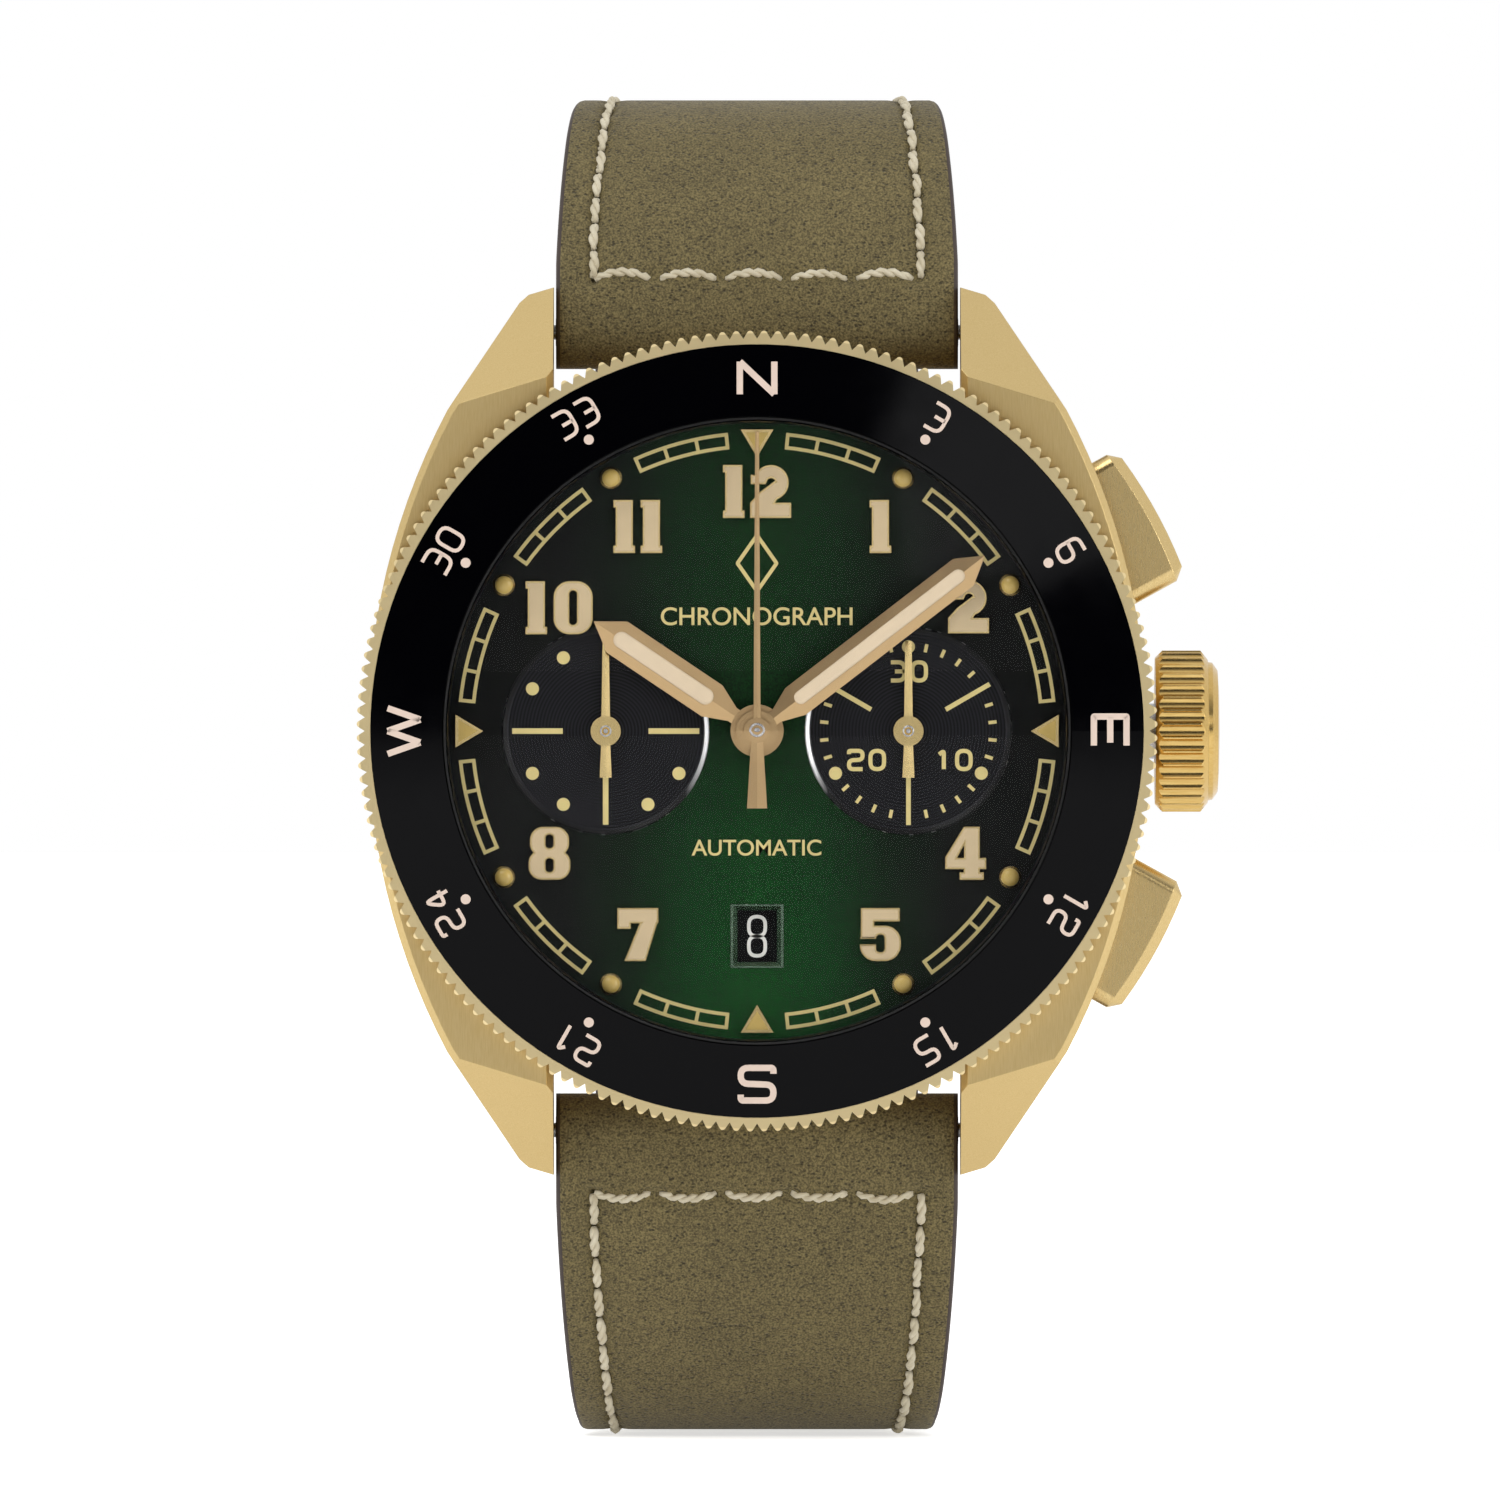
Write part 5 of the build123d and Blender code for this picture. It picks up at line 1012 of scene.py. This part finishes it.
def strap_leather(name, route, side, node, stitches):
    """One strap half: padded leather with tight painted edges, and dimples at the stitch ends."""
    length = route_length(route)
    steps = int(length / STATION)
    stations = [(-ROLL_RADIUS * math.sin(math.radians(angle)), math.cos(math.radians(angle)))
                for angle in (88, 78, 68, 57, 46, 35, 24, 12)]
    stations += [(length * step / steps, 1.0) for step in range(steps + 1)]
    if side > 0:
        stations += [(length + THICKNESS / 2 * math.sin(math.radians(angle)), math.cos(math.radians(angle)))
                     for angle in (15, 30, 45, 60, 75, 86)]
    dimples = {}
    for start, end in stitches:
        for distance, x in (start, end):
            dimples.setdefault(int(distance), []).append((distance, x))
    mesh = bpy.data.meshes.new(name)
    shape = bmesh.new()
    rings = []
    for distance, roll in stations:
        y, z, angle = route_place(route, distance)
        half = strap_width(z) / 2 * tail_share(distance, length, side)
        thick = strap_thickness(distance) / 2 * roll
        near = [place for key in (int(distance) - 1, int(distance), int(distance) + 1)
                for place in dimples.get(key, [])]
        ring = []
        for x in cross_places(half, 66):
            edge = half - abs(x)
            over = max(0.0, 1 - edge / EDGE_ROUNDING)
            lift = thick - EDGE_ROUNDING * (1 - math.sqrt(1 - over**2)) * roll
            if distance > stitches[0][0][0] - 0.4:
                lift -= math.exp(-((edge - ROW_INSET) / 0.4) ** 2) * 0.1
            for place, dimple_x in near:
                gap = (place - distance) ** 2 + (dimple_x - x) ** 2
                if gap < 1.0:
                    lift -= 0.34 * math.exp(-gap / 0.07)
            ring.append((x, lift))
        top = len(ring)
        for x in reversed(cross_places(half, 12)):
            over = max(0.0, 1 - (half - abs(x)) / EDGE_ROUNDING)
            ring.append((x, -thick + EDGE_ROUNDING * (1 - math.sqrt(1 - over**2)) * roll))
        normal = (-math.sin(angle) * side, math.cos(angle) * side)
        rings.append([shape.verts.new(at(x, y + normal[0] * lift, z + normal[1] * lift)) for x, lift in ring])
    count = len(rings[0])
    rows = len(edge_distances()) - 2
    painted = set(range(rows)) | set(range(top - 1 - rows, top + rows)) | set(range(count - 1 - rows, count))
    for lower, upper in zip(rings, rings[1:]):
        for index in range(count):
            after = (index + 1) % count
            face = shape.faces.new((lower[index], lower[after], upper[after], upper[index]))
            face.smooth = True
            if index in painted:
                face.material_index = 2
            elif index >= top:
                face.material_index = 1
    shape.faces.new(rings[0]).material_index = 2
    shape.faces.new(list(reversed(rings[-1]))).material_index = 2
    bmesh.ops.recalc_face_normals(shape, faces=shape.faces)
    shape.to_mesh(mesh)
    shape.free()
    piece = new_piece(name, mesh, "leather", "case")
    mesh.materials.append(FINISHES["lining"])
    mesh.materials.append(FINISHES["edge_paint"])
    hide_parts(node)
    return piece


def tail_share(distance, length, side):
    """Share of the full width: the tail of the 6 o'clock half is rounded to a blunt point."""
    reach = 7.0
    left = length - distance
    if side > 0 or left > reach:
        return 1.0
    return 0.35 + 0.65 * math.sqrt(max(0.0, 1 - (1 - left / reach) ** 2))


def thread_tube(shape, points, radius, sides=6):
    """A thin tube through points, closed at both ends."""
    rings = []
    for index, point in enumerate(points):
        before = points[max(0, index - 1)]
        after = points[min(len(points) - 1, index + 1)]
        heading = (after - before).normalized()
        side = heading.cross(Vector((0.31, 0.52, 0.79))).normalized()
        other = heading.cross(side)
        ring = []
        for step in range(sides):
            angle = math.tau * step / sides
            ring.append(shape.verts.new(point + (side * math.cos(angle) + other * math.sin(angle)) * radius))
        rings.append(ring)
    for lower, upper in zip(rings, rings[1:]):
        for index in range(sides):
            after = (index + 1) % sides
            shape.faces.new((lower[index], lower[after], upper[after], upper[index])).smooth = True
    shape.faces.new(rings[0])
    shape.faces.new(list(reversed(rings[-1])))


def stitching(name, route, side, stitches, face):
    """Two-ply twisted thread: each stitch rises out of its hole, lies on the leather and dives in again."""
    mesh = bpy.data.meshes.new(name)
    shape = bmesh.new()
    steps = 12
    for (start, start_x), (end, end_x) in stitches:
        long = math.hypot(end - start, end_x - start_x)
        twist = math.tau * long / 1.3
        phase = random.uniform(0, math.tau)
        swell = random.uniform(0.95, 1.08)
        drift = random.uniform(-0.06, 0.06)
        for ply in (0, math.pi):
            points = []
            for step in range(steps + 1):
                share = step / steps
                distance = start + (end - start) * share
                x = start_x + (end_x - start_x) * share
                bow = math.sin(math.pi * share) ** 0.5
                y, z, angle = route_place(route, distance)
                lift = strap_thickness(distance) / 2 - 0.3 * (1 - bow) - 0.02
                turn = phase + ply + twist * share
                wide = 0.12 * swell * (0.35 + 0.65 * bow)
                lift = (lift + wide * math.sin(turn)) * face
                cross = wide * math.cos(turn) + drift * bow
                if abs(end_x - start_x) > abs(end - start):
                    distance += cross + CROSS_BOW * math.sin(math.pi * share)
                    y, z, angle = route_place(route, distance)
                else:
                    x += cross
                normal = (-math.sin(angle) * side, math.cos(angle) * side)
                points.append(at(x, y + normal[0] * lift, z + normal[1] * lift))
            thread_tube(shape, points, 0.15 * MM * swell)
    bmesh.ops.recalc_face_normals(shape, faces=shape.faces)
    shape.to_mesh(mesh)
    shape.free()
    piece = new_piece(name, mesh, "thread", "case")


def slot_outline(y, length, width, sides=12):
    """A slot along y with round ends, centred on x = 0."""
    half = width / 2
    reach = length / 2 - half
    head = [(half * math.cos(math.pi * step / sides), y + reach + half * math.sin(math.pi * step / sides))
            for step in range(sides + 1)]
    return head + [(x, 2 * y - place) for x, place in reversed(head)]


def cut_through(piece, outlines):
    """Cut upright openings through the part of a strap that lies behind the wrist."""
    mesh = bpy.data.meshes.new("cutter")
    shape = bmesh.new()
    for outline in outlines:
        rings = [[shape.verts.new(at(x, y, height)) for x, y in outline] for height in (-60.0, BEHIND_WRIST)]
        for index in range(len(outline)):
            after = (index + 1) % len(outline)
            shape.faces.new((rings[0][index], rings[0][after], rings[1][after], rings[1][index]))
        shape.faces.new(rings[0])
        shape.faces.new(list(reversed(rings[1])))
    bmesh.ops.recalc_face_normals(shape, faces=shape.faces)
    shape.to_mesh(mesh)
    shape.free()
    cutter = bpy.data.objects.new("cutter", mesh)
    bpy.context.scene.collection.objects.link(cutter)
    cut = piece.modifiers.new("openings", "BOOLEAN")
    cut.operation = "DIFFERENCE"
    cut.object = cutter
    bpy.context.view_layer.update()
    result = bpy.data.meshes.new_from_object(piece.evaluated_get(bpy.context.evaluated_depsgraph_get()))
    piece.modifiers.remove(cut)
    piece.data = result
    bpy.data.objects.remove(cutter)


def rounded_loop(low, high, radius, steps=8):
    """Stations of a loop round the strap, (x, z, outward x, outward z), from a box with round corners."""
    stations = []
    for quarter, (x, z) in enumerate(((high[0], high[1]), (low[0], high[1]), (low[0], low[1]),
                                      (high[0], low[1]))):
        centre_x = x - radius if x > 0 else x + radius
        centre_z = z - radius if z == high[1] else z + radius
        for step in range(steps + 1):
            angle = math.pi / 2 * (quarter + step / steps)
            out = (math.cos(angle), math.sin(angle))
            stations.append((centre_x + radius * out[0], centre_z + radius * out[1], *out))
    return stations


def leather_keeper(name, node, body):
    """A leather loop with rounded, painted edges and a crease along each of them."""
    low, high = span(node)
    middle = (low[1] + high[1]) / 2
    half = (high[1] - low[1]) / 2
    side = [(half, KEEPER_WALL - 0.12), (half, 0.3), (half - 0.09, 0.09), (half - 0.3, 0.0),
            (half - 0.6, 0.0),
            (half - 0.72, 0.1), (half - 0.84, 0.0)]
    section = [(half - 0.12, KEEPER_WALL)] + side + [(-y, depth) for y, depth in reversed(side)]
    section.append((0.12 - half, KEEPER_WALL))
    stations = rounded_loop((low[0], low[2]), (high[0], high[2]), KEEPER_CORNER)
    mesh = bpy.data.meshes.new(name)
    shape = bmesh.new()
    rings = [[shape.verts.new(at(x - depth * out_x, middle + y, z - depth * out_z)) for y, depth in section]
             for x, z, out_x, out_z in stations]
    count = len(section)
    for index, ring in enumerate(rings):
        after_ring = rings[(index + 1) % len(rings)]
        for row in range(count):
            after = (row + 1) % count
            face = shape.faces.new((ring[row], ring[after], after_ring[after], after_ring[row]))
            face.smooth = True
            if row in (0, 1, 2, count - 4, count - 3, count - 2):
                face.material_index = 2
            elif row == count - 1:
                face.material_index = 1
    bmesh.ops.recalc_face_normals(shape, faces=shape.faces)
    shape.to_mesh(mesh)
    shape.free()
    piece = new_piece(name, mesh, "leather", body)
    mesh.materials.append(FINISHES["lining"])
    mesh.materials.append(FINISHES["edge_paint"])
    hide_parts(node)


def build_strap():
    upper = stitch_rows(UPPER, 2.5, 3.0, 1.52)
    lower = stitch_rows(LOWER, 3.05, 8.0, 1.8)
    upper_leather = strap_leather("upper_strap_leather", UPPER, 1, "strap_upper", upper)
    lower_leather = strap_leather("lower_strap_leather", LOWER, -1, "strap_lower", lower)
    notch = [(TONGUE_NOTCH / 2, BUCKLE_BAR_Y - 4.0), (TONGUE_NOTCH / 2, BUCKLE_BAR_Y + 2.2),
             (-TONGUE_NOTCH / 2, BUCKLE_BAR_Y + 2.2), (-TONGUE_NOTCH / 2, BUCKLE_BAR_Y - 4.0)]
    cut_through(upper_leather, [notch])
    tongue_hole = slot_outline(BUCKLE_BAR_Y - 0.75, 4.3, 2.4)
    spare_hole = slot_outline(BUCKLE_BAR_Y - 0.75 - HOLE_PITCH, 2.6, 1.5)
    cut_through(lower_leather, [tongue_hole, spare_hole])
    for name, route, side, rows in (("upper", UPPER, 1, upper), ("lower", LOWER, -1, lower)):
        stitching(name + "_strap_stitching", route, side, rows, 1)
    leather_keeper("fixed_keeper_leather", "fixed_keeper", "case")
    leather_keeper("loose_keeper_leather", "loose_keeper", "keeper")


# ---------------------------------------------------------------- studio
def soft_box(name, place, target, size, power, colour=(1.0, 1.0, 1.0)):
    """A rectangular soft light at a bench place, aimed at another."""
    lamp = bpy.data.lights.new(name, "AREA")
    lamp.shape = "RECTANGLE"
    lamp.size = size[0] * MM
    lamp.size_y = size[1] * MM
    lamp.energy = power
    lamp.color = colour
    holder = bpy.data.objects.new(name, lamp)
    holder.location = at(*place)
    holder.rotation_euler = (at(*target) - at(*place)).to_track_quat("-Z", "Y").to_euler()
    bpy.context.scene.collection.objects.link(holder)


def studio_air():
    """White behind the watch; for light and reflections, dim in front of the dial and bright at the sides."""
    world = bpy.data.worlds.new("studio_air")
    world.use_nodes = True
    tree = world.node_tree
    air = tree.nodes["Background"]
    place = tree.nodes.new("ShaderNodeTexCoord")
    parts = tree.nodes.new("ShaderNodeSeparateXYZ")
    wire(tree, place.outputs["Generated"], parts.inputs[0])
    facing = math_node(tree, "MULTIPLY", parts.outputs["Y"], -1.0)
    glow = ramp(tree, span_map(tree, facing, -1.0, 1.0, 0.0, 1.0),
                (0.0, (0.9, 0.9, 0.9, 1.0)), (0.62, (0.85, 0.85, 0.85, 1.0)), (0.84, (0.3, 0.3, 0.31, 1.0)),
                (0.93, (0.03, 0.03, 0.033, 1.0)), (1.0, (0.01, 0.01, 0.012, 1.0)))
    rays = tree.nodes.new("ShaderNodeLightPath")
    wire(tree, blend_colour(tree, rays.outputs["Is Camera Ray"], glow, (1.0, 1.0, 1.0, 1.0)),
         air.inputs["Color"])
    air.inputs["Strength"].default_value = 1.0
    bpy.context.scene.world = world


def studio():
    """Pale lit floor, soft boxes and the camera."""
    low = CAD_BOUNDS[0]
    mesh = bpy.data.meshes.new("floor")
    reach = 8.0
    level = low[2] - 0.0003
    corners = [(-reach, -reach, level), (reach, -reach, level), (reach, reach, level), (-reach, reach, level)]
    mesh.from_pydata(corners, [], [(0, 1, 2, 3)])
    floor = bpy.data.objects.new("floor", mesh)
    bpy.context.scene.collection.objects.link(floor)
    paper, tree, shader = new_material("lit_paper_floor", (0.9, 0.9, 0.9, 1.0), 0.9)
    shader.inputs["Emission Color"].default_value = (1.0, 1.0, 1.0, 1.0)
    seen = tree.nodes.new("ShaderNodeLightPath").outputs["Is Camera Ray"]
    wire(tree, span_map(tree, seen, 0.0, 1.0, 0.25, 0.62), shader.inputs["Emission Strength"])
    mesh.materials.append(paper)
    studio_air()
    scene = bpy.context.scene
    scene.view_settings.view_transform = "Standard"
    soft_box("key_box", (-300, 520, 420), (0, 0, 0), (420, 320), 1.35)
    soft_box("right_box", (560, 120, 420), (0, 0, 0), (260, 420), 1.35)
    soft_box("left_box", (-560, -60, 420), (0, 0, 0), (260, 420), 1.15)
    soft_box("bezel_box", (330, 330, 1000), (0, 0, 0), (300, 260), 0.4)
    camera_data = bpy.data.cameras.new("camera")
    camera = bpy.data.objects.new("camera", camera_data)
    scene.collection.objects.link(camera)
    scene.camera = camera
    distance = 1400.0
    frame_width = 80.7
    camera_data.sensor_width = 36.0
    camera_data.lens = 36.0 * distance / frame_width
    camera_data.clip_start = 0.01
    camera_data.clip_end = 20.0
    camera.location = at(-0.38, -1.02, 12.0 + distance)
    camera.rotation_euler = (math.radians(90), 0.0, 0.0)


finish_cad_nodes()
bezel_markings()
minute_track()
marker_fills()
numeral_faces()
register_prints()
dial_words()
date_figures()
hand_fill("hour_hand_fill", 0.94, 2.9, 9.2, HOUR_TOP, HOUR_TURN, "hour_hand_group")
hand_fill("minute_hand_fill", 0.78, 2.6, 14.0, MINUTE_TOP, MINUTE_TURN, "minute_hand_group")
pivots()
build_strap()
studio()
